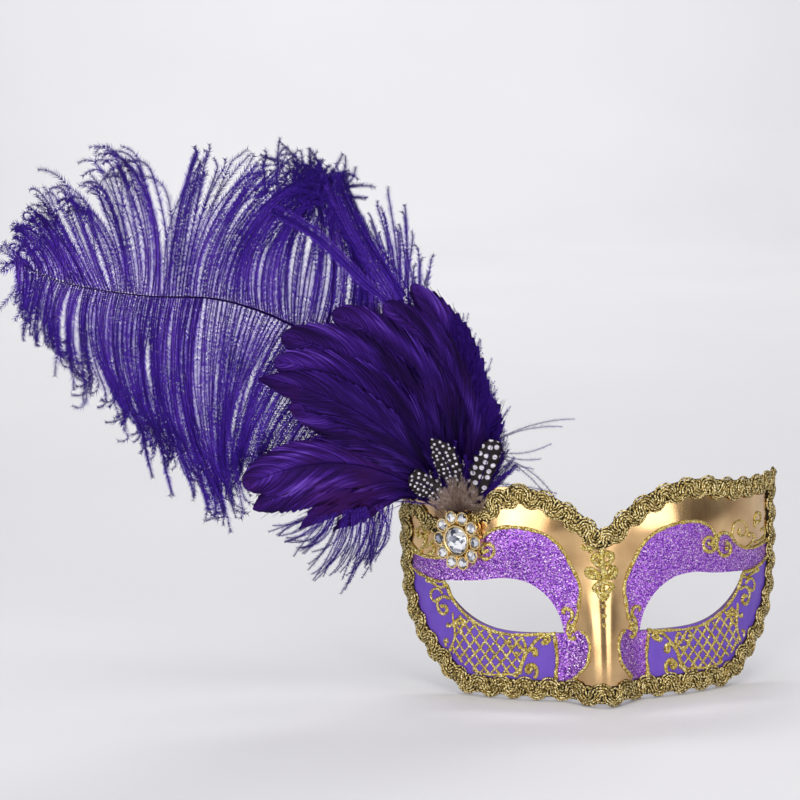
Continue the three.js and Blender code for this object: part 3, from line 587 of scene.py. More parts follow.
# %% Beads of glue
BEAD_STEP, SWELL_STEPS, BEAD_LIFT = 0.7, 3, 0.12
LATTICE_U, LATTICE_BASE, LATTICE_BEAD, LATTICE_WANDER = (34, 78), 24, 0.6, 0.3
DOT_HALF, DOT_BEAD = 0.9, 1.15
MIRRORED = (-1, 1)
rng = np.random.default_rng(11)
lines, radii = [], []


def bead(points, width, blob=1.0):
    points = np.asarray(points, float)
    sampled = resample(points, max(4, int(run_along(points)[-1] / BEAD_STEP)))
    knots = np.arange(0, len(sampled) + SWELL_STEPS, SWELL_STEPS)
    swell = np.interp(np.arange(len(sampled)), knots, rng.uniform(0.72, 1.3, len(knots)))
    swell[0] *= 0.6
    swell[-3:] *= blob
    lines.append(face_point(sampled[:, 0], sampled[:, 1], BEAD_LIFT))
    radii.append(width * swell)


for rows, fuller, blob in ((SIDE_LINES, 1.08, 1.5), (TEMPLE_LINES, 1.08, 1.3), (NOSE_LINES, 1.45, 1.3)):
    for width, points in rows:
        curve = smooth_through(points, 10)
        bead(curve, fuller * width, blob)
        if rows is SIDE_LINES:
            bead(curve * MIRRORED, fuller * width, blob)
for start in np.arange(0, 110, LATTICE_PITCH):
    for slope in (LATTICE_SLOPE, -LATTICE_SLOPE):
        u = np.linspace(*LATTICE_U, 90)
        wander = np.interp(u, np.linspace(*LATTICE_U, 8), rng.normal(0, LATTICE_WANDER, 8))
        v = LATTICE_BASE + slope * (u - start) + wander
        held = inside_by(LATTICE_PANEL, u, v) > -0.2
        if held.sum() > 5:
            strip = np.stack([u[held], v[held]], 1)
            bead(strip, LATTICE_BEAD)
            bead(strip * MIRRORED, LATTICE_BEAD)
for u, v in NOSE_DOTS + PANEL_DOTS + [(-u, v) for u, v in PANEL_DOTS]:
    bead([(u, v - DOT_HALF), (u, v), (u, v + DOT_HALF)], DOT_BEAD)
glue = round_lines("glitter_glue_lines", lines, radii, 1)
print(len(lines), "beads")

# %% [markdown]
# The glue dries clear and leaves gold flakes that lie at all angles in a soft bead. It is built like the
# violet glitter, with flakes that have their own normal, but less metallic because clear glue covers them.

# %% Gold glitter glue
gold_glue, tree, shader = finish("gold_glitter_glue")
# Flakes of 0.15 mm are too fine to show, so they are drawn 0.5 mm across
flake_tone, flake_normal = flakes(tree, 0.5, 1.0)
flake = add(tree, "ValToRGB", Fac=(flake_tone, "Red"),
            stops=[(0.0, "#6E5212"), (0.35, "#B49436"), (0.75, "#E0CC66"), (1.0, "#FFFAD0")])
feed(tree, shader, Base_Color=(flake, 0), Normal=(flake_normal, 0), Metallic=0.4, Roughness=0.34)
glue.data.materials.append(gold_glue)
hand_over(glue, "gilded_papier")

# %% [markdown]
# The edge is trimmed with scroll gimp, glued on in three lengths: over the brow, round the rim and across
# the left temple corner. The routes follow the shell's own outline, moved inwards by part of the braid's
# width, so the trimming always covers the cut edge. The brow length turns down beside the brooch.

# %% Routes of the braid
BRAID_HALF, CORNER_HALF, BROW_INSET, RIM_INSET = 5.75, 4.75, 2.9, 3.95
NOTCH_HALF, NOTCH_DROP, BROOCH_SIDE, RIGHT_TOP, LEFT_TOP = 5, 2.75, -40, 86.2, 82.5
BROW_START, BROW_END = [(-57.5, 84.5), (-55, 89.5), (-51, 94), (-44, 97.2)], (112.5, 96.5)
CORNER_ROUTE = [(-108.5, 90.5), (-96, 86), (-84.5, 80.5), (-80, 78)]


def inset_route(rows, inset):
    curve = resample(smooth_through(rows, 40), 29)
    ahead = headings(curve)
    return curve + np.stack([ahead[:, 1], -ahead[:, 0]], 1) * inset


brow_half = inset_route(UPPER_EDGE, BROW_INSET)
brow_half = brow_half[brow_half[:, 0] > NOTCH_HALF]
brow_left = (brow_half * MIRRORED)[::-1]
brow_left = brow_left[brow_left[:, 0] > BROOCH_SIDE]
brow_route = np.vstack([BROW_START, brow_left, [(0, brow_half[0, 1] - NOTCH_DROP)], brow_half, [BROW_END]])
rim_half = inset_route(LOWER_EDGE, RIM_INSET)
rim_right = rim_half[rim_half[:, 1] <= RIGHT_TOP]
rim_left = (rim_half[:-1] * MIRRORED)[::-1]
rim_left = rim_left[rim_left[:, 1] <= LEFT_TOP]
rim_route = np.vstack([[(rim_right[0, 0], 92)], rim_right, rim_left, [(rim_left[-1, 0], 90)]])
print("braid in mm:", [round(run_along(np.array(r))[-1]) for r in (brow_route, rim_route, CORNER_ROUTE)])

# %% [markdown]
# In scroll gimp five gimped gold cords lie side by side and swing from edge to edge in half circles, and
# a small nest of cord fills the hollow of each swing. Each cord is a line whose radius in an arc is the
# middle radius plus or minus its place in the row. A dark ribbon, a grid laid along the route, lies below
# as painted shade that shows through the gaps between the cords.

# %% Braid from ribbon and cords
SCROLL_RADIUS, CORD_RADIUS, CORD_STRAY, CORD_STEP = 2.9, 0.54, 0.13, 0.8
CORD_PLACES = np.linspace(-2.3, 2.3, 5)
NEST_RADIUS, NEST_OUT, NEST_LIFT = 0.8, 2.7, 0.45
RIBBON_SHARE, RIBBON_WALL, RIBBON_SHORT, LOWEST_V = 0.7, 0.3, 2, 0.45


def swing(loop):
    return (loop * 2 + 1) * SCROLL_RADIUS, 1 if loop % 2 == 0 else -1


def scroll(loops, place):
    s_line, w_line = [], []
    for loop in range(loops):
        middle, upward = swing(loop)
        radius = SCROLL_RADIUS + upward * place
        turn = np.linspace(np.pi, 0, max(6, int(np.pi * radius / CORD_STEP)))[:-1]
        s_line.append(middle + radius * np.cos(turn))
        w_line.append(upward * radius * np.sin(turn))
    return np.concatenate(s_line), np.concatenate(w_line), 0.5 + 0.9 * (1 - (place / 2.5) ** 2)


def nest(loop):
    middle, upward = swing(loop)
    turn = np.linspace(-0.3, np.pi + 0.3, 10)
    return middle + NEST_RADIUS * np.cos(turn), -upward * (NEST_OUT + NEST_RADIUS * np.sin(turn)), NEST_LIFT


def braid(name, rows, half, *nodes):
    route = resample(smooth_through(rows, 24), 600)
    table = np.column_stack([run_along(route), route, headings(route)])
    length, scale = table[-1, 0], half / BRAID_HALF

    def lay(s, w, lift):
        u, v, au, av = row_at(table, s).T
        return face_point(u - av * w, np.maximum(v + au * w, LOWEST_V), lift)

    pick()
    bpy.ops.mesh.primitive_grid_add(x_subdivisions=int(length / 1.2), y_subdivisions=8, size=2)
    ribbon = named(name + "_ribbon")
    x, y = read_points(ribbon).T[:2]
    along = RIBBON_SHORT + (x + 1) / 2 * (length - 2 * RIBBON_SHORT)
    set_points(ribbon, lay(along, y * half * RIBBON_SHARE, 0.2 + 0.5 * (1 - y ** 2)))
    apply_modifier(ribbon, "SOLIDIFY", thickness=RIBBON_WALL * MM, offset=0)
    ribbon.data.materials.append(shade_ribbon)
    loops = round(length / (2 * SCROLL_RADIUS))
    cords = []
    for s_line, w_line, height in [scroll(loops, p) for p in CORD_PLACES] + [nest(i) for i in range(loops)]:
        s_line = s_line * length / (loops * 2 * SCROLL_RADIUS) + rng.normal(0, CORD_STRAY, len(s_line))
        s_line = np.clip(s_line, 0, length)
        w_line = (w_line + rng.normal(0, CORD_STRAY, len(w_line))) * scale
        dome = 1 - np.clip(np.abs(w_line) / half, 0, 1) ** 2
        over = 0.25 * np.sin(2 * np.pi * s_line / SCROLL_RADIUS / 4)
        cords.append(lay(s_line, w_line, height + 0.7 * dome + over))
    thread = round_lines(name + "_cords", cords, [CORD_RADIUS * scale] * len(cords), 1)
    thread.data.materials.append(gimp_thread)
    hand_over(join(name, [thread, ribbon]), "gimp_braid", *nodes)


# %% [markdown]
# Gimp is a core wrapped in fine gilt wire. The wrap is too fine to show, so it is drawn coarser, as a painted
# glint and a painted shadow every 0.8 mm, from antique gold down to almost black.

# %% Gimp thread and ribbon
# Painted highlight and shade: the 0.8 mm noise runs from near-black shadow to cream glints
gimp_thread = mottled("gilt_gimp_thread", 0.8,
                      [(0.35, "#0E0A04"), (0.44, "#6A5426"), (0.53, "#CCAE5C"), (0.62, "#FFF4C0")],
                      grain=0.6, press=0.9, Metallic=0.6, Roughness=0.36)
# Painted shade: the ribbon is near black so that the gaps between the cords look shaded
shade_ribbon = mottled("painted_shade_ribbon", 0.9, [(0.4, "#0E0A06"), (0.7, "#3E3018")], Roughness=0.85)
braid("brow_gimp", brow_route, BRAID_HALF, "brow_braid")
braid("rim_gimp", rim_route, BRAID_HALF, "rim_braid")
braid("corner_gimp", CORNER_ROUTE, CORNER_HALF, "corner_braid")

# %% [markdown]
# The brooch is a pressed brass setting: a drum, a ring of ten round cups and a bezel for the large stone.
# Each part is modelled lying flat at the origin, as on a bench, and then its points are carried to the
# place on the face that holds it. The cup is modelled once and copied round the ring.

# %% Bench for the brooch
BROOCH_U, BROOCH_V, BROOCH_LIFT = -67.0, 76.3, 0.1
CUP_RING, CUPS, OVAL, TALL = 10.6, 10, 0.95, 1.06
UPWARD_FACE, BEVEL_SMOOTH = 0.9, math.radians(35)
seat = face_point(BROOCH_U, BROOCH_V, BROOCH_LIFT)
outward = np.cross(face_point(BROOCH_U + 0.5, BROOCH_V, 0) - face_point(BROOCH_U - 0.5, BROOCH_V, 0),
                   face_point(BROOCH_U, BROOCH_V + 0.5, 0) - face_point(BROOCH_U, BROOCH_V - 0.5, 0))
outward = outward * (1, 1, 0) / np.linalg.norm(outward[:2])
sideways = np.cross((0, 0, 1), outward)
print("brooch at", seat.round(1), "looks along", outward.round(2))


def set_on_face(piece):
    x, y, z = (read_points(piece) / MM).T[:, :, None]
    set_points(piece, seat + x * sideways + y * np.array((0, 0, TALL)) + z * outward)


def bench_cylinder(name, sides, radius, depth, middle, fill="NGON"):
    pick()
    bpy.ops.mesh.primitive_cylinder_add(vertices=sides, radius=radius * MM, depth=depth * MM,
                                        end_fill_type=fill, location=(0, 0, middle * MM))
    made = named(name)
    bpy.ops.object.transform_apply(location=True)
    return made


def choose_top():
    bpy.ops.object.mode_set(mode="EDIT")
    bpy.ops.mesh.select_mode(type="FACE")
    bpy.ops.mesh.select_all(action="DESELECT")
    bpy.ops.object.mode_set(mode="OBJECT")
    for face in bpy.context.active_object.data.polygons:
        face.select = face.normal.z > UPWARD_FACE
    bpy.ops.object.mode_set(mode="EDIT")


def thin_bevel(piece, width_mm):
    apply_modifier(piece, "BEVEL", width=width_mm * MM, segments=2, limit_method="ANGLE")
    bpy.ops.object.shade_smooth_by_angle(angle=BEVEL_SMOOTH)


# %% [markdown]
# A drum with a sunk ring carries all. The bezel is an open tube that leans in at the top and so holds the
# large stone, and each cup is a small cylinder with a wider mouth, hollowed by an inset and an extrusion,
# with four claws pressed over the stone. Bevels give the edges the soft glint of pressed brass.

# %% Drum, bezel and cup
RIM_WIDTH, RING_WIDTH, RING_SUNK = 1.0, 2.6, 0.7
BEZEL_WALL, BEZEL_LEAN, BEZEL_SPREAD, BEZEL_BEND = 0.85, 0.93, 1.04, 5
CUP_MOUTH, CUP_WALL, CUP_SUNK = 1.2, 0.8, 0.7
CLAW_RADIUS, CLAW_TALL, CLAW_RING, CLAW_HEIGHT = 0.5, 1.4, 2.7, 5.15
drum = bench_cylinder("brooch_drum", 64, radius=11.2, depth=3.5, middle=1.85)
choose_top()
for inset_mm, rise_mm in ((RIM_WIDTH, -RING_SUNK), (RING_WIDTH, RING_SUNK)):
    bpy.ops.mesh.inset(thickness=inset_mm * MM)
    bpy.ops.transform.translate(value=(0, 0, rise_mm * MM))
pick(drum)
thin_bevel(drum, 0.25)
bezel = bench_cylinder("brooch_bezel", 64, radius=7.35, depth=2.6, middle=4.6, fill="NOTHING")
bezel_points = read_points(bezel) / MM
bezel_points[:, :2] *= np.where(bezel_points[:, 2] > BEZEL_BEND, BEZEL_LEAN, BEZEL_SPREAD)[:, None]
set_points(bezel, bezel_points)
apply_modifier(bezel, "SOLIDIFY", thickness=BEZEL_WALL * MM, offset=-1)
thin_bevel(bezel, 0.12)
cup = bench_cylinder("brooch_cup", 24, radius=2.7, depth=4.4, middle=2.8)
choose_top()
bpy.ops.transform.resize(value=(CUP_MOUTH, CUP_MOUTH, 1))
bpy.ops.mesh.inset(thickness=CUP_WALL * MM)
bpy.ops.mesh.extrude_region_move(TRANSFORM_OT_translate={"value": (0, 0, -CUP_SUNK * MM)})
pick(cup)
thin_bevel(cup, 0.1)
claws = []
for turn in np.arange(4) * np.pi / 2 + np.pi / 4:
    pick()
    bpy.ops.mesh.primitive_uv_sphere_add(segments=12, ring_count=8, radius=CLAW_RADIUS * MM)
    claw = named("brooch_claw")
    spot = (CLAW_RING * np.cos(turn), CLAW_RING * np.sin(turn), CLAW_HEIGHT)
    set_points(claw, read_points(claw) / MM * (1, 1, CLAW_TALL) + spot)
    bpy.ops.object.shade_smooth()
    claws.append(claw)
cup = join("brooch_cup", [cup, *claws])
print("drum, bezel and cup:", [len(piece.data.polygons) for piece in (drum, bezel, cup)], "faces")

# %% [markdown]
# Foil-backed crystal is cut like a brilliant: a flat table, a ring of slanted crown facets and a girdle.
# Circles for the table, the crown and the girdle are added in one mesh and wrapped by a convex hull, which
# gives exactly the flat facets that a wheel grinds. The foil behind makes the facets flash like mirrors.

# %% Cut stones
GIRDLE = 0.35
# Each ring of corners: count, share of the radius, share of the height, turn
STONE_RINGS = ((16, 0.97, 0.0, 0), (8, 0.83, 0.74, np.pi / 8), (8, 0.6, 1.0, 0))


def cut_stone(name, radius, low, high):
    rise = high - low
    pick()
    bpy.ops.mesh.primitive_circle_add(vertices=16, radius=radius * MM,
                                      location=(0, 0, (low + GIRDLE * rise) * MM))
    stone = named(name)
    bpy.ops.object.transform_apply(location=True)
    bpy.ops.object.mode_set(mode="EDIT")
    for count, share, height, turn in STONE_RINGS:
        bpy.ops.mesh.primitive_circle_add(vertices=count, radius=radius * share * MM, rotation=(0, 0, turn),
                                          location=(0, 0, (low + height * rise) * MM))
    bpy.ops.mesh.select_all(action="SELECT")
    bpy.ops.mesh.convex_hull()
    bpy.ops.mesh.normals_make_consistent(inside=False)
    pick(stone)
    stone.data.materials.append(foiled_crystal)
    return stone


foiled_crystal, tree, shader = finish("foil_backed_crystal")
place = add(tree, "TexCoord")
# What the lower facets send back through the stone shows as patches of about 1.9 mm
facets = add(tree, "TexVoronoi", {"distance": "MANHATTAN"}, Vector=(place, "Object"),
             Scale=per_mm(1.9))
glints = add(tree, "SeparateColor", Color=(facets, "Color"))
tint = add(tree, "ValToRGB", Fac=(glints, "Green"),
           stops=[(0.0, "#3A3E4C"), (0.3, "#9094A4"), (0.6, "#D6D8E0"), (1.0, "#FFFFFF")])
feed(tree, shader, Base_Color=(tint, 0), Metallic=0.45, Roughness=0.08, Coat_Weight=1.0,
     Coat_Roughness=0.03)
print(foiled_crystal.name, len(tree.nodes), "nodes")

# %% [markdown]
# The large stone sits in the bezel and a small one in each cup. The cup is copied to its ten places round
# the ring, which is a little narrower than tall, and then the model cup is cleared off the bench.

# %% Ring of cups and stones
centre_stone = cut_stone("centre_crystal", 6.05, 4.05, 7.45)
set_on_face(centre_stone)
hand_over(centre_stone, "crystal", "centre_stone")
cups = []
for i in range(CUPS):
    angle = 2 * np.pi * (i + 0.5) / CUPS + np.pi / 2
    hub = np.array((CUP_RING * OVAL * np.cos(angle), CUP_RING * np.sin(angle), 0))
    pick(cup)
    bpy.ops.object.duplicate()
    cups.append(named(f"cup_{i + 1}"))
    set_points(cups[-1], read_points(cups[-1]) / MM + hub)
    stone = cut_stone(f"rim_crystal_{i + 1:02d}", 2.4, 4.0, 6.0)
    set_points(stone, read_points(stone) / MM + hub)
    set_on_face(stone)
    hand_over(stone, "crystal", f"rim_stone_{i + 1:02d}")
pick(cup)
bpy.ops.object.delete()
brooch = join("brooch_brass", [drum, bezel, *cups])

# %% [markdown]
# Pressed brass with a bright gilt plating is a warm, clean mirror whose tone varies a little from place to
# place. It needs no more than the plain recipe with a low roughness.

# %% Gilt brass
brooch.data.materials.append(mottled("gilt_plated_brass", 3, [(0.3, "#D0B070"), (0.7, "#F2E0B4")], 3,
                                     Metallic=1.0, Roughness=0.22))
set_on_face(brooch)
hand_over(brooch, "gilt_metal", "brooch_setting")

# %% [markdown]
# A feather is a shaft with a vane on each side, and the vane is made of barbs that leave the shaft at a
# slant. A grid is the right start: its rows become the barbs, swept towards the tip, and its columns run
# along the shaft. Each row gets its own small change of length, and a few rows are pulled in deep, where
# the barbs have come unhooked and the vane has split.

# %% Fan of feathers
FAN_SEAT = face_point(-69.5, 90, 1.8)
FAN_BACK, FAN_BACK_REACH = 8, 11.5
SPINE_STEPS, EDGE_HAIRS, HAIR_STEPS, BARBS_PER_MM, BARB_SWEEP = 60, 36, 5, 1.4, 0.34
VANE_OPENS, LOW_VANE_OPENS, SPLITS, LOW_SPLITS = 0.04, 0.2, 10, 70
SHAFT_TAPER = np.linspace(0.5, 0.1, SPINE_STEPS // 2)
HAIR_TAPER = np.linspace(0.13, 0.06, HAIR_STEPS)


def fan_point(place, depth):
    across, up = np.asarray(place).T
    back = FAN_BACK * np.tanh(-across / FAN_BACK_REACH)
    return np.stack([FAN_SEAT[0] + across, FAN_SEAT[1] + back - depth, FAN_SEAT[2] + up], -1)


def layer_depth(layer, run):
    return layer * (0.5 + 0.8 * smooth_step(4, 38, run))


def feather_spine(across, up, bow):
    tip = np.array((across, up))
    control = tip / 2 + np.array((-up, across)) / np.hypot(across, up) * 2 * bow
    root = control / np.linalg.norm(control) * 9 + (0, -5)
    t = np.linspace(0, 1, SPINE_STEPS)[:, None]
    return (1 - t) ** 2 * root + 2 * t * (1 - t) * control + t * t * tip


def vane_half(share, width, point, opens):
    shoulder = np.clip(1 - np.maximum((share - 0.6) / 0.4, 0) ** 2.5, 0, 1) ** point
    return 0.4 + (width / 2 - 0.4) * smooth_step(opens, opens + 0.42, share) * shoulder


def feather(name, across, up, bow, width, layer, point, vane_finish, frayed):
    low = up < 0
    spine = feather_spine(across, up, bow)
    spine[:, 1] += 4 * low * (1 - np.linspace(0, 1, SPINE_STEPS)) ** 2
    table = np.column_stack([run_along(spine), spine, headings(spine)])
    length = table[-1, 0]

    def on_vane(share, lateral, rise):
        x, y, ax, ay = row_at(table, share * length).T
        place = np.stack([x - ay * lateral, y + ax * lateral], -1)
        return fan_point(place, layer_depth(layer, share * length) + rise)

    barb_rows = int(length * BARBS_PER_MM)
    pick()
    bpy.ops.mesh.primitive_grid_add(x_subdivisions=16, y_subdivisions=barb_rows, size=2)
    vane = named(name)
    spot = read_points(vane)
    q, s = spot[:, 0], (spot[:, 1] + 1) / 2
    swept = BARB_SWEEP * np.abs(q) ** 1.15 * (1 - s) ** 0.4 * smooth_step(0, 0.15, s)
    share = np.minimum(s + swept, 1)
    worn = rng.uniform(-frayed, 0.05, (2, barb_rows + 1))
    worn -= rng.uniform(0, 0.22, worn.shape) * smooth_step(0.5, 0.9, np.linspace(0, 1, barb_rows + 1))
    first, last = int(barb_rows * 0.12), int(barb_rows * 0.95)
    for split in rng.integers(first, last, LOW_SPLITS if low else SPLITS):
        worn[rng.integers(2), split:split + rng.integers(1, 4)] = rng.uniform(-0.85, -0.25)
    row = np.rint(s * barb_rows).astype(int)
    half = vane_half(share, width, point, np.where(low & (q > 0), LOW_VANE_OPENS, VANE_OPENS))
    lateral = q * half * (1 + worn[(q > 0).astype(int), row] * np.abs(q) ** 3)
    lateral += 0.9 * np.sin(share * 7 + layer * 2.1) * np.abs(q) * smooth_step(0.3, 0.8, share)
    wave = 0.35 * np.sin(share * 9 + layer) * q - 0.9 * q * q * smooth_step(0.05, 0.4, share)
    set_points(vane, on_vane(share, lateral, wave))
    mark(vane, "along_mm", s * length + 60 * layer)
    mark(vane, "spot_mm", share * length)
    mark(vane, "across_mm", lateral)
    # Painted shade: tone is low at the root, where the feathers lie under one another; the low feathers get a
    # lighter tone
    mark(vane, "tone", share + 0.4 * (up < 20))
    # The vane arches over its shaft and rolls at the edges; the layers leave no room for that in full
    mark(vane, "crown_mm", 4.2 * (1 - q ** 2) + 1.2 * np.sin(share * 8 + layer) * q)
    bpy.ops.object.shade_smooth()
    vane.data.materials.append(vane_finish)
    hairs = [on_vane(np.linspace(0, 1, SPINE_STEPS), np.zeros(SPINE_STEPS), 0.1)[::2]]
    off = np.linspace(0, 1, HAIR_STEPS)
    for at in rng.uniform(0.25, 0.96, EDGE_HAIRS):
        side = rng.choice((-1, 1))
        edge = vane_half(at, width, point, VANE_OPENS)
        forward = at + off * rng.uniform(3, 7) / length
        beside = side * (edge * (0.85 + 0.1 * off) + off * rng.uniform(0, 1.6))
        hairs.append(on_vane(forward, beside, -0.5))
    shaft = round_lines(name + "_shaft", hairs, [SHAFT_TAPER] + [HAIR_TAPER] * EDGE_HAIRS, 1)
    shaft.data.materials.append(dyed_shaft)
    return join(name, [vane, shaft])


# %% [markdown]
# Cock feathers dyed violet are almost black in the shade and have a silky gloss, partly painted into the
# colour as lighter streaks. The barbs are fine lines about half a millimetre apart, so the colour follows the
# rows of the grid. Broad bands turn redder, painted shade darkens each feather towards its root, and the
# shaft is dyed as dark as the vane.

# %% Dyed feather finishes
dyed_vane, tree, shader = finish("violet_dyed_cock_feather")
along, across, tone, crown = (add(tree, "Attribute", {"attribute_name": key})
                              for key in ("along_mm", "across_mm", "tone", "crown_mm"))
place = add(tree, "TexCoord")
barb_map = add(tree, "CombineXYZ", X=(along, "Fac"), Y=(across, "Fac"))
# Barbs about half a millimetre apart are too fine to show, so they are drawn about 1 mm wide
barb_grid = add(tree, "Mapping", Vector=(barb_map, 0), Scale=(0.8, 0.05, 1))
barbs_seen = add(tree, "TexNoise", Vector=(barb_grid, 0), Scale=1.2, Detail=4, Roughness=0.6)
# Painted highlight: the silky gloss is painted as lighter and darker streaks about 30 mm long and 7 mm wide
painted_gloss_grid = add(tree, "Mapping", Vector=(barb_map, 0), Scale=(0.033, 0.14, 1))
painted_gloss_streaks = add(tree, "TexNoise", Vector=(painted_gloss_grid, 0), Scale=1.0, Detail=2)
painted_gloss_share = add(tree, "MapRange", Value=(painted_gloss_streaks, "Fac"), From_Min=0.3, From_Max=0.7, To_Min=-0.17,
                To_Max=0.17)
level = add(tree, "Math", {"operation": "ADD"}, _0=(barbs_seen, "Fac"), _1=(painted_gloss_share, 0))
tint = add(tree, "ValToRGB", Fac=(level, 0),
           stops=[(0.28, "#0A021C"), (0.46, "#20093E"), (0.62, "#3E1C7C"), (0.8, "#7852C2")])
# Bands about 25 mm wide turn the colour redder
bands = add(tree, "TexNoise", Vector=(place, "Object"), Scale=per_mm(25), Detail=2)
band_share = add(tree, "MapRange", Value=(bands, "Fac"), From_Min=0.5, From_Max=0.7, To_Min=0,
                 To_Max=0.6)
redder = add(tree, "Mix", colour, _0=(band_share, 0), _6=(tint, 0), _7=linear("#381046"))
# Painted shade: this ramp multiplies the colour darker towards each feather's root and leaves the tip full
shade = add(tree, "ValToRGB", Fac=(tone, "Fac"),
            stops=[(0.0, "#686078"), (0.3, "#9088A4"), (0.65, "#C8C0D8"), (1.0, "#FFFFFF")])
mixed = add(tree, "Mix", {"data_type": "RGBA", "blend_type": "MULTIPLY"}, _0=1.0, _6=(redder, 2),
            _7=(shade, 0))
fine = add(tree, "Math", {"operation": "MULTIPLY"}, _0=(barbs_seen, "Fac"), _1=0.5)
height = add(tree, "Math", {"operation": "ADD"}, _0=(crown, "Fac"), _1=(fine, 0))
ridges = add(tree, "Bump", Height=(height, 0), Strength=0.9, Distance=MM)
feed(tree, shader, Base_Color=(mixed, 2), Normal=(ridges, 0), Roughness=0.36, Specular_IOR_Level=0.45,
     Specular_Tint=linear("#8A60E0"))
dyed_shaft = mottled("dyed_quill", 5, [(0.3, "#0C0320"), (0.7, "#1E0A42")], Roughness=0.4,
                     Specular_Tint=linear("#6038D0"))
print(dyed_vane.name, len(tree.nodes), "nodes")


# %% [markdown]
# Guinea fowl feathers are charcoal with rows of white spots. The spots sit in the vane's own millimetres,
# so a cell pattern with little randomness over the vane's two lengths draws them, and a threshold on the
# distance to the cell's middle gives each its edge. The feather on the right has larger spots.

# %% Spotted feather finish
def spotted(name, spacing_mm, spot_mm):
    material, tree, shader = finish(name)
    along, across = (add(tree, "Attribute", {"attribute_name": key})
                     for key in ("spot_mm", "across_mm"))
    spot_map = add(tree, "CombineXYZ", X=(along, "Fac"), Y=(across, "Fac"))
    cells = add(tree, "TexVoronoi", {"voronoi_dimensions": "2D"}, Vector=(spot_map, 0),
                Scale=1 / spacing_mm, Randomness=0.45)
    edge = spot_mm / 2 / spacing_mm
    spots = add(tree, "MapRange", Value=(cells, "Distance"), From_Min=edge * 0.8,
                From_Max=edge * 1.15, To_Min=1, To_Max=0)
    barb_grid = add(tree, "Mapping", Vector=(spot_map, 0), Scale=(1.4, 0.12, 1))
    barbs_seen = add(tree, "TexNoise", Vector=(barb_grid, 0), Scale=1.6, Detail=3)
    dark = add(tree, "ValToRGB", stops=[(0.3, "#060405"), (0.7, "#2A2022")], Fac=(barbs_seen, "Fac"))
    pale = add(tree, "ValToRGB", stops=[(0.35, "#9A92A4"), (0.65, "#F0ECF4")], Fac=(barbs_seen, "Fac"))
    mixed = add(tree, "Mix", colour, _0=(spots, 0), _6=(dark, 0), _7=(pale, 0))
    ridges = add(tree, "Bump", Height=(barbs_seen, "Fac"), Strength=0.4, Distance=0.5 * MM)
    feed(tree, shader, Base_Color=(mixed, 2), Normal=(ridges, 0), Roughness=0.55, Specular_IOR_Level=0.2)
    return material


fine_spots = spotted("guinea_fowl_fine_spots", 2.5, 1.25)
large_spots = spotted("guinea_fowl_large_spots", 3.9, 2.3)
print("spots:", fine_spots.name, large_spots.name)

# %% [markdown]
# Twelve cock feathers open like a hand of cards from one seat behind the brooch, each on its own layer, and
# three short guinea fowl feathers stand before them. A feather is told by its tip, its bow, its width, its
# layer and how pointed it is. Those at the right edge and the lowest ones are more frayed.

# %% The twelve fan feathers and three spotted ones
# Each row: tip across and up, bow, width, layer, how pointed
FAN_FEATHERS = [
    (16, 54, -3, 17, -1, 0.5), (-18, 107, -15.5, 20, 0, 0.6), (-31.5, 98, -19, 22, 1, 0.5),
    (-56, 94.5, -19, 24, 2, 0.5), (-80, 84.5, -20, 26, 3, 0.5), (-83.5, 73, -17, 25, 4, 0.5),
    (-77, 50.5, -10, 23, 5, 0.5), (-91, 65.5, -13, 20, 6, 0.9), (-100, 14, -16, 27, 4.3, 0.5),
    (-96, 3, -13, 23, 3.4, 0.8), (-74, -8.5, -12, 16, 2.5, 1.2), (-58, -10, -9, 11, 1.5, 1.2),
]
GUINEA_FEATHERS = [(-22, 15.5, -2, 15, 8, 0.4), (-11, 35.5, -3, 13.5, 9, 0.9),
                   (16.5, 36, -2, 12.5, 8, 0.25)]
NEAT, FRAYED, SPOTTED_FRAYED, RIGHT_EDGE = 0.1, 0.4, 0.5, -25
for i, row in enumerate(FAN_FEATHERS, 1):
    frayed = FRAYED if row[0] > RIGHT_EDGE or row[1] < 0 else NEAT
    made = feather(f"cock_feather_{i:02d}", *row, dyed_vane, frayed)
    hand_over(made, "violet_vane", f"fan_feather_{i:02d}")
for i, (row, spot_finish) in enumerate(zip(GUINEA_FEATHERS, (fine_spots, fine_spots, large_spots)), 1):
    made = feather(f"spotted_feather_{i}", *row, spot_finish, SPOTTED_FRAYED)
    hand_over(made, "spotted_vane", f"guinea_feather_{i}")


# %% [markdown]
# An ostrich plume and loose down have no closed vane: every barb is a limp thread fringed with short
# barbules, and neighbouring barbs cling together in locks whose ends curl. The threads are bevelled curves.
# There are tens of thousands of barbules, far too many to model by hand, so each is written straight as
# one triangle that leans forward from its thread and falls back behind it.

# %% Threads with barbules
def facing(heading):
    return np.array((math.cos(heading), math.sin(heading)))


def bend(root, tip, bow, steps=14):
    root, tip = np.asarray(root, float), np.asarray(tip, float)
    side = np.array((root[1] - tip[1], tip[0] - root[0])) / max(np.hypot(*(tip - root)), 1e-6)
    control = (root + tip) / 2 + side * 2 * bow
    t = np.linspace(0, 1, steps)[:, None]
    return (1 - t) ** 2 * root + 2 * t * (1 - t) * control + t * t * tip


def curl_end(line, reach, turn, steps=8):
    made = list(line)
    heading = math.atan2(*(line[-1] - line[-2])[::-1])
    for i in range(steps):
        heading += turn * (i + 1) * 2 / (steps * (steps + 1))
        made.append(made[-1] + facing(heading) * reach / steps)
    return np.array(made)


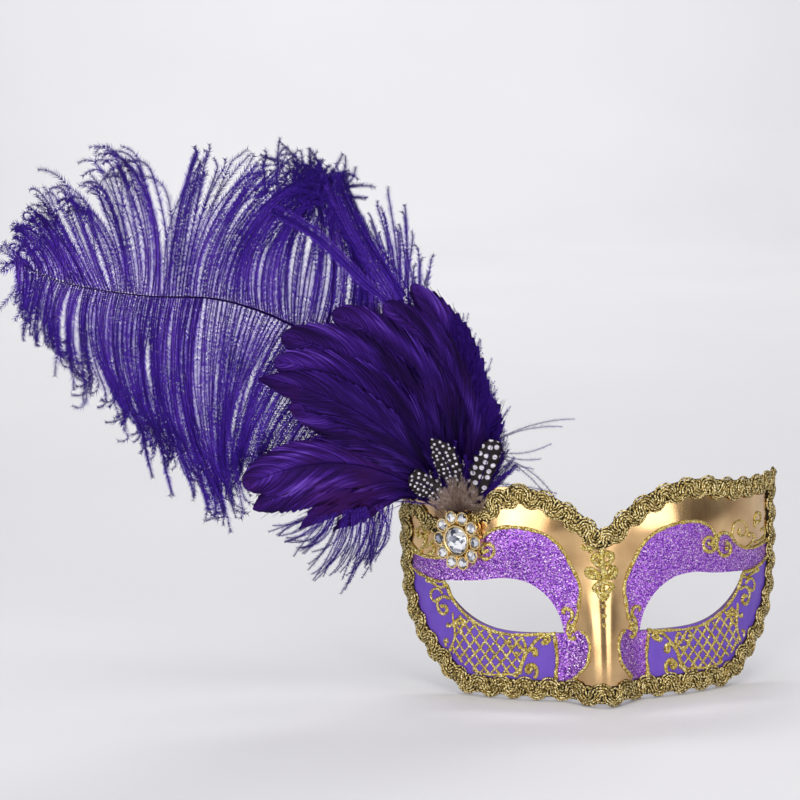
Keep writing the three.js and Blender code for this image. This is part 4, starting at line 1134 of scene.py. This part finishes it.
def fringed(name, paths, finishes, thread_mm, barbule_mm, blade_mm, spacing_mm, from_tone=0.0):
    toned = [path if path.shape[1] == 4 else
             np.column_stack([path, np.linspace(from_tone, 1, len(path))]) for path in paths]
    radii = [np.linspace(thread_mm, thread_mm * 0.75, len(path)) for path in toned]
    threads = round_lines(name + "_threads", [path[:, :3] for path in toned], radii, 0)
    mark(threads, "tone", np.repeat(np.concatenate([path[:, 3] for path in toned]), 4))
    corners, tones = [], []
    for path in toned:
        run = run_along(path[:, :3])
        at = np.arange(spacing_mm / 3, run[-1], spacing_mm)
        at += rng.uniform(-0.3, 0.3, len(at)) * spacing_mm
        sampled = row_at(np.column_stack([run, path]), at)
        spot, tone = sampled[:, :3], sampled[:, 3]
        ahead = headings(spot)
        flat = np.cross(ahead, (0, 1, 0))
        flat /= np.linalg.norm(flat, axis=1, keepdims=True)
        face = np.cross(flat, ahead)
        share = at / run[-1]
        opened = (0.75 + 0.25 * smooth_step(0.0, 0.25, share)) * (1 - 0.3 * smooth_step(0.8, 1, share))
        for hand in (-1, 1):
            roll = rng.uniform(0.05, 0.8, len(at))[:, None]
            outwards = hand * flat * np.cos(roll) + face * np.sin(roll)
            reach = (barbule_mm * opened * rng.uniform(0.65, 1.2, len(at)))[:, None]
            tip = spot + (outwards * 0.72 + ahead * 0.7) * reach
            corners.append(np.stack([spot - ahead * blade_mm / 2, spot + ahead * blade_mm / 2, tip], 1))
            tones.append(np.stack([tone] * 3, 1))
    corners, tones = np.concatenate(corners).reshape(-1, 3), np.concatenate(tones).ravel()
    mesh = bpy.data.meshes.new(name + "_barbules")
    mesh.from_pydata(corners * MM, [], np.arange(len(corners)).reshape(-1, 3))
    fringe = bpy.data.objects.new(name + "_barbules", mesh)
    bpy.context.scene.collection.objects.link(fringe)
    mark(fringe, "tone", tones)
    for piece, barb_finish in zip((threads, fringe), finishes):
        piece.data.materials.append(barb_finish)
    return join(name, [threads, fringe])


# %% [markdown]
# The plume stands behind the fan and leans far to the left. Its shaft and the tips of its locks were read
# off the photograph, above and below the shaft. Barbs between two rows of the table get values between
# them, gather in locks of a few and wander a little, each with its own curl.

# %% Plume tables
PLUME_SHAFT = [(-3, -1), (-24.5, 37), (-47.5, 66), (-71, 86), (-107, 101.5), (-143, 105.5), (-179, 113.5),
               (-199.5, 123.5)]
# Each row: place on the shaft, tip across and up, bow, turn and length of the curled end
UPPER_LOCKS = [
    (0.27, -46, 136, -8, 0.5, 6), (0.36, -53, 146, -10, 0.5, 6), (0.42, -58, 150, -5, 0.5, 6),
    (0.465, -62, 147, 2, 0, 5),
    (0.486, -66, 149, 4, 0, 5), (0.526, -66, 151, 7, 0, 5), (0.564, -65, 153, 10, -0.4, 6),
    (0.604, -72, 158, 7, -0.6, 6), (0.641, -83, 162, 5, -0.8, 6), (0.672, -95, 164, 6, -1.0, 7),
    (0.69, -114, 168, 0, 0.5, 4), (0.718, -118, 166, 3, 0.1, 4), (0.722, -140, 162, -5, 2.0, 15),
    (0.754, -148, 163, -4, 2.2, 16), (0.773, -156, 159, -1, 2.2, 14), (0.793, -165, 150, -3, 1.4, 10),
    (0.812, -170, 150, -1, 2.8, 9), (0.833, -177, 152, 0, 1.9, 9), (0.852, -183, 148, 1, 1.9, 8),
    (0.877, -189, 143, -1, 2.6, 8), (0.902, -193, 139, -3, 1.6, 6), (0.933, -195, 135, -2, 0.8, 5),
    (0.972, -197.5, 129, 0, 0.5, 4), (1.0, -199.5, 121, 0, 0, 2)]
LOWER_LOCKS = [
    (0.22, -66, 24, -4, 0, 5), (0.3, -84, 22, -6, 0, 5), (0.39, -99, 20, -6, 0.2, 5),
    (0.45, -104, 23, -5, 0.3, 5), (0.5, -107, 22, -4, 0.3, 5), (0.555, -110, 8, -4, 0.3, 5),
    (0.609, -108, 1, -5, 0, 6), (0.648, -111, 6, -8, 0, 6), (0.685, -116, 17, -8, 0.2, 6),
    (0.725, -130, 30, -6, -0.7, 6), (0.762, -139, 35, -6, -1.0, 7), (0.804, -149, 43, -6, -1.8, 8),
    (0.827, -154, 52, -6, 1.6, 8), (0.846, -161, 62, -5, -2.6, 14), (0.853, -166, 60, -4, -2.2, 12),
    (0.87, -173, 66, -4, 1.2, 7), (0.896, -183, 80, -2, 1.8, 7), (0.928, -190, 87, -1, 1.5, 6),
    (0.96, -195, 95, 0, 0.8, 5), (1.0, -199.5, 112, 0, 0, 3)]
SHAFT_SHARES = np.linspace(0, 1, 200)
shaft_curve = resample(smooth_through(PLUME_SHAFT, 24), len(SHAFT_SHARES))
shaft_table = np.column_stack([SHAFT_SHARES, shaft_curve])
# How far a barb's bow, turn and curl stray from the table
BARB_STRAY = 1.0, 0.45, 1.4


def on_shaft(at):
    return row_at(shaft_table, at)


def plume_depth(at):
    return -1.4 - 4.6 * smooth_step(0.08, 0.3, at) + 22 * smooth_step(0.45, 1, at)


def plume_barbs(locks, count, lock_size, spread_mm, least_hold, stray_mm=1.2):
    table = np.array(locks, float)
    at_all = np.linspace(table[0, 0], table[-1, 0], count)
    paths = []
    first = 0
    while first < count:
        group = at_all[first:first + rng.integers(*lock_size)]
        first += len(group)
        gather = row_at(table, group.mean())[:2] + rng.normal(0, spread_mm, 2)
        shift, short, hold = rng.normal(0, 2.4), rng.uniform(0.92, 1.05), rng.uniform(least_hold, 0.95)
        sway, phase, dark = rng.normal(0, 1.8), rng.uniform(0, 6), rng.uniform(0, 0.6)
        for at in group:
            own = row_at(table, at)
            across, up, bow, turn, reach = own + rng.normal(0, 1, 5) * (stray_mm, stray_mm, *BARB_STRAY)
            root = on_shaft(at)
            tip = root + (np.array((across, up)) - root) * short * rng.uniform(0.9, 1.01)
            line = curl_end(bend(root, tip, bow), max(reach, 1), turn)
            t = np.linspace(0, 1, len(line))
            line += ((gather - own[:2]) * hold)[None] * t[:, None] ** 2.5
            wander = 0.9 * np.sin(rng.uniform(5, 11) * t + rng.uniform(0, 6))
            line[:, 0] += t * (sway * np.sin(4 * t + phase) + wander)
            depth = plume_depth(at) + t * (shift + rng.normal(0, 1.6))
            paths.append(np.column_stack([fan_point(line, depth), dark + (1 - dark) * t]))
    return paths


print("shaft", run_along(shaft_curve)[-1].round(1), "mm, tips", len(UPPER_LOCKS) + len(LOWER_LOCKS))


# %% [markdown]
# The dyed threads are dark violet and their fringe is lighter, because light comes through it; the curled
# ends are nearly navy. The down at the foot of the fan is undyed, a warm grey brown.

# %% Barb finishes
def barb_finish(name, gloss_code, *stops):
    material, tree, shader = finish(name)
    tone = add(tree, "Attribute", {"attribute_name": "tone"})
    place = add(tree, "TexCoord")
    # Locks take the dye unevenly, in patches of about 14 mm
    patch = add(tree, "TexNoise", Vector=(place, "Object"), Scale=per_mm(14), Detail=3)
    uneven = add(tree, "MapRange", Value=(patch, "Fac"), From_Min=0.3, From_Max=0.7, To_Min=-0.18,
                 To_Max=0.18)
    level = add(tree, "Math", {"operation": "ADD"}, _0=(tone, "Fac"), _1=(uneven, 0))
    tint = add(tree, "ValToRGB", stops=stops, Fac=(level, 0))
    feed(tree, shader, Base_Color=(tint, 0), Roughness=0.5, Specular_Tint=linear(gloss_code))
    return material


violet_thread = barb_finish("dyed_ostrich_barb", "#7A58D0", (0.0, "#260C62"), (0.5, "#200A58"),
                            (1.0, "#180448"))
violet_barbule = barb_finish("dyed_ostrich_barbule", "#9C86E0", (0.0, "#6A46BC"), (0.3, "#5C36B2"),
                             (0.55, "#4622A0"), (0.78, "#301284"), (1.0, "#20085E"))
violet_down = barb_finish("dyed_down_of_cock_feather", "#6A50C0", (0.0, "#14043C"), (0.6, "#2A1064"),
                          (1.0, "#40208A"))
brown_thread = barb_finish("undyed_down_thread", "#9C8A80", (0.0, "#3C2E28"), (0.6, "#6E5A4E"),
                           (1.0, "#8E7A6E"))
brown_barbule = barb_finish("undyed_down", "#B8A69C", (0.0, "#40322C"), (0.5, "#806A5E"), (1.0, "#A8948A"))
PLUME_FINISH, FLUFF_FINISH = (violet_thread, violet_barbule), (violet_thread, violet_down)
TUFT_FINISH = (brown_thread, brown_barbule)
print("barbs:", [item.name for item in (*PLUME_FINISH, violet_down, *TUFT_FINISH)])

# %% [markdown]
# The barbs of a worn plume do not lie in order. Most hold together in locks, finer ones have sprung out and
# cross the others as a pale haze, one broad lock leans over from the covered part of the shaft, one has
# slipped and lies slantwise over the rest, and a few stand alone. Each sort gets its own list of paths.

# %% Locks of the plume
upper_paths = plume_barbs(UPPER_LOCKS, 132, (2, 8), 2.5, 0.1)
lower_paths = plume_barbs(LOWER_LOCKS[7:], 80, (2, 8), 2.5, 0.1)
lower_paths += plume_barbs(LOWER_LOCKS[:8], 46, (3, 8), 5, 0.7)
haze_paths = plume_barbs(UPPER_LOCKS, 115, (1, 3), 6, 0.5, 3.5)
haze_paths += plume_barbs(LOWER_LOCKS, 105, (1, 3), 6, 0.5, 3.5)


def strand(at, tip, bow, turn, lift, reach=4):
    line = curl_end(bend(on_shaft(at), tip, bow), reach, turn)
    return fan_point(line, plume_depth(at) + np.linspace(0, 1, len(line)) * lift)


def bundle(route, count, spread_mm, dark, steps=24):
    middle = resample(smooth_through(route, 12), steps)
    t = np.linspace(0, 1, steps)
    made = []
    for k in range(count):
        foot, end = rng.normal(0, spread_mm, (2, 2))
        line = middle + foot + (end - foot) * t[:, None]
        line[:, 0] += 0.8 * np.sin(rng.uniform(4, 9) * t + rng.uniform(0, 6))
        depth = -6 + 8 * t + rng.normal(0, 1)
        shade = rng.uniform(0, dark)
        made.append(np.column_stack([fan_point(line, depth), shade + 0.5 * t]))
    return made


BROAD_LOCK = [on_shaft(0.2), (-20, 78), (-26, 101), (-33, 113), (-45, 134), (-54, 154)]
SLIPPED_LOCK = [on_shaft(0.17), (-16, 72), (-28, 96), (-41, 108), (-51, 118), (-64, 131), (-74, 138),
                (-82, 142)]
upper_paths += bundle(BROAD_LOCK, 18, 4.2, 0.7) + bundle(SLIPPED_LOCK, 8, 1.3, 0.4)
STRAYS = [(-28, 152), (-20, 144), (-20.5, 141), (-14.5, 125), (-14, 119), (-9, 120.5), (-29.5, 140.5),
          (-36, 141), (-24, 134), (-33, 146), (-17, 131)]
HANGING = ((0.73, (-143, 23)), (0.7, (-134, 14)), (0.67, (-124, 13)), (0.65, (-117, 5)))
for x, y in STRAYS + [(x - 2.5, y - 9) for x, y in STRAYS]:
    lean, turn, lift = -4 + rng.normal(0, 1.5), rng.uniform(-1, 1), rng.normal(0, 1.5)
    upper_paths.append(strand(rng.uniform(0.16, 0.3), (x, y - 4), lean, turn, lift))
for at, tip in HANGING:
    for k in range(2):
        lean, turn, lift = -7 + rng.normal(0, 1), rng.uniform(-1, 1), rng.normal(0, 1.5)
        lower_paths.append(strand(at + 0.01 * k, tip, lean, turn, lift))
print("barbs above, below and in the haze:", len(upper_paths), len(lower_paths), len(haze_paths))

# %% [markdown]
# The ends of the middle locks have tangled in a dark knot with loose tips. It is a heap of short curled
# pieces round one place, with longer ones that stand out of it. The shaft is one tapering round line. Then
# all the paths become threads with barbules, dark at the ends.

# %% Knot, shaft and barbs of the plume
KNOT_TIPS = [(-87, 168), (-78, 175.5), (-71.5, 164), (-64, 170), (-60, 162.5), (-56, 161), (-48, 167.5),
             (-45, 161.5), (-42, 153), (-38.5, 148)]
KNOT_DEPTH = plume_depth(0.5)
PLUME_BARB = dict(thread_mm=0.24, barbule_mm=3.0, blade_mm=0.7, spacing_mm=0.95)
HAZE_BARB = dict(thread_mm=0.15, barbule_mm=3.2, blade_mm=0.65, spacing_mm=1.0)
KNOT_BARB = dict(thread_mm=0.22, barbule_mm=2.6, blade_mm=0.6, spacing_mm=0.8, from_tone=0.7)
knot_paths = []
for k in range(120):
    start = np.array((-64 + rng.normal(0, 9), 150 + rng.normal(0, 5)))
    heading = rng.uniform(0, 2.6)
    end = start + rng.uniform(4, 10) * facing(heading)
    line = curl_end(bend(start, end, rng.normal(0, 1.5), 8), rng.uniform(2, 6), rng.uniform(-1.6, 1.6))
    knot_paths.append(fan_point(line, KNOT_DEPTH + rng.normal(0, 3)))
for x, y in KNOT_TIPS * 2:
    foot = (-63 + rng.normal(0, 6), 149 + rng.normal(0, 3))
    line = bend(foot, (x + rng.normal(0, 1), y + rng.normal(0, 1.2)), rng.normal(0, 1.5))
    knot_paths.append(fan_point(line, KNOT_DEPTH + rng.normal(0, 2)))
shaft_line = fan_point(shaft_curve, plume_depth(SHAFT_SHARES) + 0.4)[::4]
plume_shaft = round_lines("plume_shaft", [shaft_line], [np.linspace(1.1, 0.18, len(shaft_line))], 2)
plume_shaft.data.materials.append(dyed_shaft)
for name, paths, barb in (("plume_upper", upper_paths, PLUME_BARB),
                          ("plume_lower", lower_paths, PLUME_BARB),
                          ("plume_haze", haze_paths, HAZE_BARB), ("plume_knot", knot_paths, KNOT_BARB)):
    hand_over(fringed(name, paths, PLUME_FINISH, **barb), "violet_barbs", "ostrich_plume")
hand_over(plume_shaft, "violet_barbs", "ostrich_plume")

# %% [markdown]
# Below the fan a small fluffy feather hangs out, with its barbs on two depths so that some fall before the
# lowest vane. Just above the brooch a tuft of undyed down hides the quills. Both are threads with barbules
# from a short table of tips; the tuft's are finer and closer.

# %% Fringe under the fan and down above the brooch
UNDER_SHAFT = [(-5.5, 1), (-26, 3), (-45, 2), (-66, -2)]
# Each row: place on the shaft, tip across and up, bow
UNDER_LOCKS = np.array([(0.42, -40, -28, 2), (0.58, -49, -35, 4), (0.72, -64, -34, 4), (0.88, -78, -21, 3),
                        (1, -92, -9, 1)])
UNDER_DEPTHS, UNDER_SHARES = (-2, 4.5), np.linspace(0, 1, 100)
UNDER_BARB = dict(thread_mm=0.2, barbule_mm=1.9, blade_mm=0.45, spacing_mm=0.8, from_tone=0.35)
under_curve = resample(smooth_through(UNDER_SHAFT, 24), len(UNDER_SHARES))
under_table = np.column_stack([UNDER_SHARES, under_curve])
under_paths = [fan_point(under_curve, -0.4 - 1.6 * smooth_step(0.1, 0.4, UNDER_SHARES))]
for at in np.linspace(0.4, 1, 58):
    root = row_at(under_table, at)
    tip = row_at(UNDER_LOCKS, at) + rng.normal(0, 2.4, 3)
    tip[:2] = root + (tip[:2] - root) * rng.uniform(0.7, 1.08)
    line = bend(root, tip[:2], tip[2])
    drift = np.linspace(0, 1, len(line)) * rng.normal(0, 1.4)
    under_paths.append(fan_point(line, rng.choice(UNDER_DEPTHS) + drift))
hand_over(fringed("under_fringe", under_paths, PLUME_FINISH, **UNDER_BARB), "violet_barbs", "under_plume")
# Each row: place in the tuft, foot across, tip across and up
TUFT_LOCKS = np.array([(0, -4, -13, 5), (1, -2, -9, 11), (2, 0, -3.5, 15), (3, 2, 3, 18), (4, 4, 9, 13),
                       (5, 6, 14, 6)])
TUFT_BARB = dict(thread_mm=0.07, barbule_mm=1.6, blade_mm=0.09, spacing_mm=0.22)
TUFT_FOOT, TUFT_DEPTH = 1.5, 5.6
tuft_paths = []
for at in np.linspace(0, 5, 150):
    foot, across_tip, up_tip = row_at(TUFT_LOCKS, at)
    tip = np.array((across_tip, up_tip)) * rng.uniform(0.5, 1.05) + rng.normal(0, 0.9, 2)
    root = (foot + rng.normal(0, 1.2), TUFT_FOOT + rng.normal(0, 0.8))
    line = bend(root, tip, rng.normal(0, 1.2), 10)
    tuft_paths.append(fan_point(line, TUFT_DEPTH + np.linspace(0, rng.uniform(1, 4.2), len(line))))
hand_over(fringed("down_tuft_barbs", tuft_paths, TUFT_FINISH, **TUFT_BARB), "brown_down", "down_tuft")

# %% [markdown]
# The cock feathers are fluffy at the foot, which shows as a soft edge down the fan's right side and as down
# between the spotted feathers, and a few long loose barbs stand off over the brow braid. All of it is short
# threads that lean outwards from a drawn edge or from the seat of the fan.

# %% Fluff and loose barbs
FLUFF_EDGE = smooth_through([(2, 84), (6, 75), (9.5, 65), (13, 53), (16, 40), (18, 26), (17, 10)], 8)
WISPS = [((18, 34), (58, 47), 2), ((18, 29), (47, 34), -1.5), ((19, 27), (54, 3), 3.5),
         ((18, 14), (49, 10), 1.5), ((16, 22), (38, 26), 1), ((14, 40), (33, 56), -1)]
FLUFF_BARB = dict(thread_mm=0.11, barbule_mm=1.7, blade_mm=0.3, spacing_mm=0.7)
FOOT_BARB = dict(thread_mm=0.11, barbule_mm=2.4, blade_mm=0.4, spacing_mm=0.5)
fluff_paths, foot_paths = [], []
for k in rng.integers(1, len(FLUFF_EDGE) - 1, 330):
    climb = FLUFF_EDGE[k - 1] - FLUFF_EDGE[k + 1]
    heading = math.atan2(climb[1], climb[0]) - math.radians(rng.uniform(10, 45))
    reach = rng.uniform(6, 14)
    root = FLUFF_EDGE[k] + rng.normal(0, 1.2, 2) - (1, 0)
    line = bend(root, root + facing(heading) * reach, rng.normal(0, 1), 8)
    fluff_paths.append(fan_point(line, rng.uniform(-1, 2) + np.linspace(0, 1, len(line))))
for k in range(130):
    heading = math.radians(rng.uniform(38, 150))
    root = facing(heading) * (1, 0.6) * rng.uniform(2, 9)
    tip = root + facing(heading) * rng.uniform(14, 30)
    line = bend(root, tip, rng.normal(0, 1.5), 8)
    foot_paths.append(fan_point(line, rng.uniform(-1, 2.5) + np.linspace(0, 1, len(line))))
for root, tip, bow in WISPS:
    for k in range(2):
        line = bend(root, np.array(tip) - rng.uniform(0, 9, 2), bow + rng.normal(0, 0.8))
        fluff_paths.append(fan_point(line, 2 + np.linspace(0, 2 + k, len(line))))
for name, paths, barb in (("fan_fluff", fluff_paths, FLUFF_BARB), ("fan_foot_down", foot_paths, FOOT_BARB)):
    hand_over(fringed(name, paths, FLUFF_FINISH, **barb), "violet_barbs")

# %% [markdown]
# The mask stands on a pale table that runs up into a pale wall, as on a sheet of studio paper. The sweep is
# one plane whose far edge is extruded up and bevelled round, so no line shows where table and wall meet.

# %% Table and backdrop
SWEEP_LENGTH, SWEEP_NARROW, BELOW_MASK, WALL_HEIGHT, WALL_ROUND = 7, 0.3, 0.0004, 2.5, 1.2
pick()
bpy.ops.mesh.primitive_plane_add(size=SWEEP_LENGTH, location=(0, 0, -BELOW_MASK))
sweep = named("table_sweep")
bpy.ops.transform.resize(value=(SWEEP_NARROW, 1, 1))
bpy.ops.object.transform_apply(location=True, scale=True)
bpy.ops.object.mode_set(mode="EDIT")
bpy.ops.mesh.select_mode(type="EDGE")
bpy.ops.mesh.select_all(action="DESELECT")
bpy.ops.object.mode_set(mode="OBJECT")
for edge in sweep.data.edges:
    edge.select = min(sweep.data.vertices[i].co.y for i in edge.vertices) > 1
bpy.ops.object.mode_set(mode="EDIT")
bpy.ops.mesh.extrude_region_move(TRANSFORM_OT_translate={"value": (0, 0, WALL_HEIGHT)})
pick(sweep)
apply_modifier(sweep, "BEVEL", width=WALL_ROUND, segments=32, limit_method="ANGLE")
bpy.ops.object.shade_smooth()
paper = mottled("pale_paper_sweep", 400, [(0.3, "#EDECEF"), (0.7, "#F1F0F2")], Roughness=0.7)
sweep.data.materials.append(paper)
print("sweep", len(sweep.data.polygons), "faces")

# %% [markdown]
# Large softboxes light the mask from the left front, the right front and above, and one light brightens
# the wall. The room between them stays darker, so the leaf mirrors bright bands with shade beside them.

# %% Softboxes and room light
AT_MASK, AT_WALL = (-0.07, 0.02, 0.12), (0, 3.2, 0.2)
# Each light: name, place, what it is aimed at, width and height in metres, power in watts
SOFTBOXES = [("left_softbox", (-0.71, -1.09, 0.42), AT_MASK, (0.8, 1.0), 9.5),
             ("right_softbox", (0.66, -1.14, 0.4), AT_MASK, (0.62, 1.0), 6.8),
             ("top_softbox", (-0.1, -0.1, 1.7), AT_MASK, (1.3, 1.3), 12.2),
             ("wall_light", (0.0, 1.7, 2.4), AT_WALL, (2.0, 1.4), 46)]
for name, place_m, aim, (width, height), power in SOFTBOXES:
    pick()
    bpy.ops.object.light_add(type="AREA", location=place_m)
    softbox = named(name)
    softbox.data.shape = "RECTANGLE"
    softbox.data.size, softbox.data.size_y = width, height
    softbox.data.energy = power
    softbox.rotation_euler = (Vector(aim) - softbox.location).to_track_quat("-Z", "Y").to_euler()
room = bpy.data.worlds.new("room_light")
bpy.context.scene.world = room
room.use_nodes = True
feed(room.node_tree, room.node_tree.nodes["Background"], Color=linear("#E8E8EE"), Strength=0.22)
print(len(SOFTBOXES), "lights")
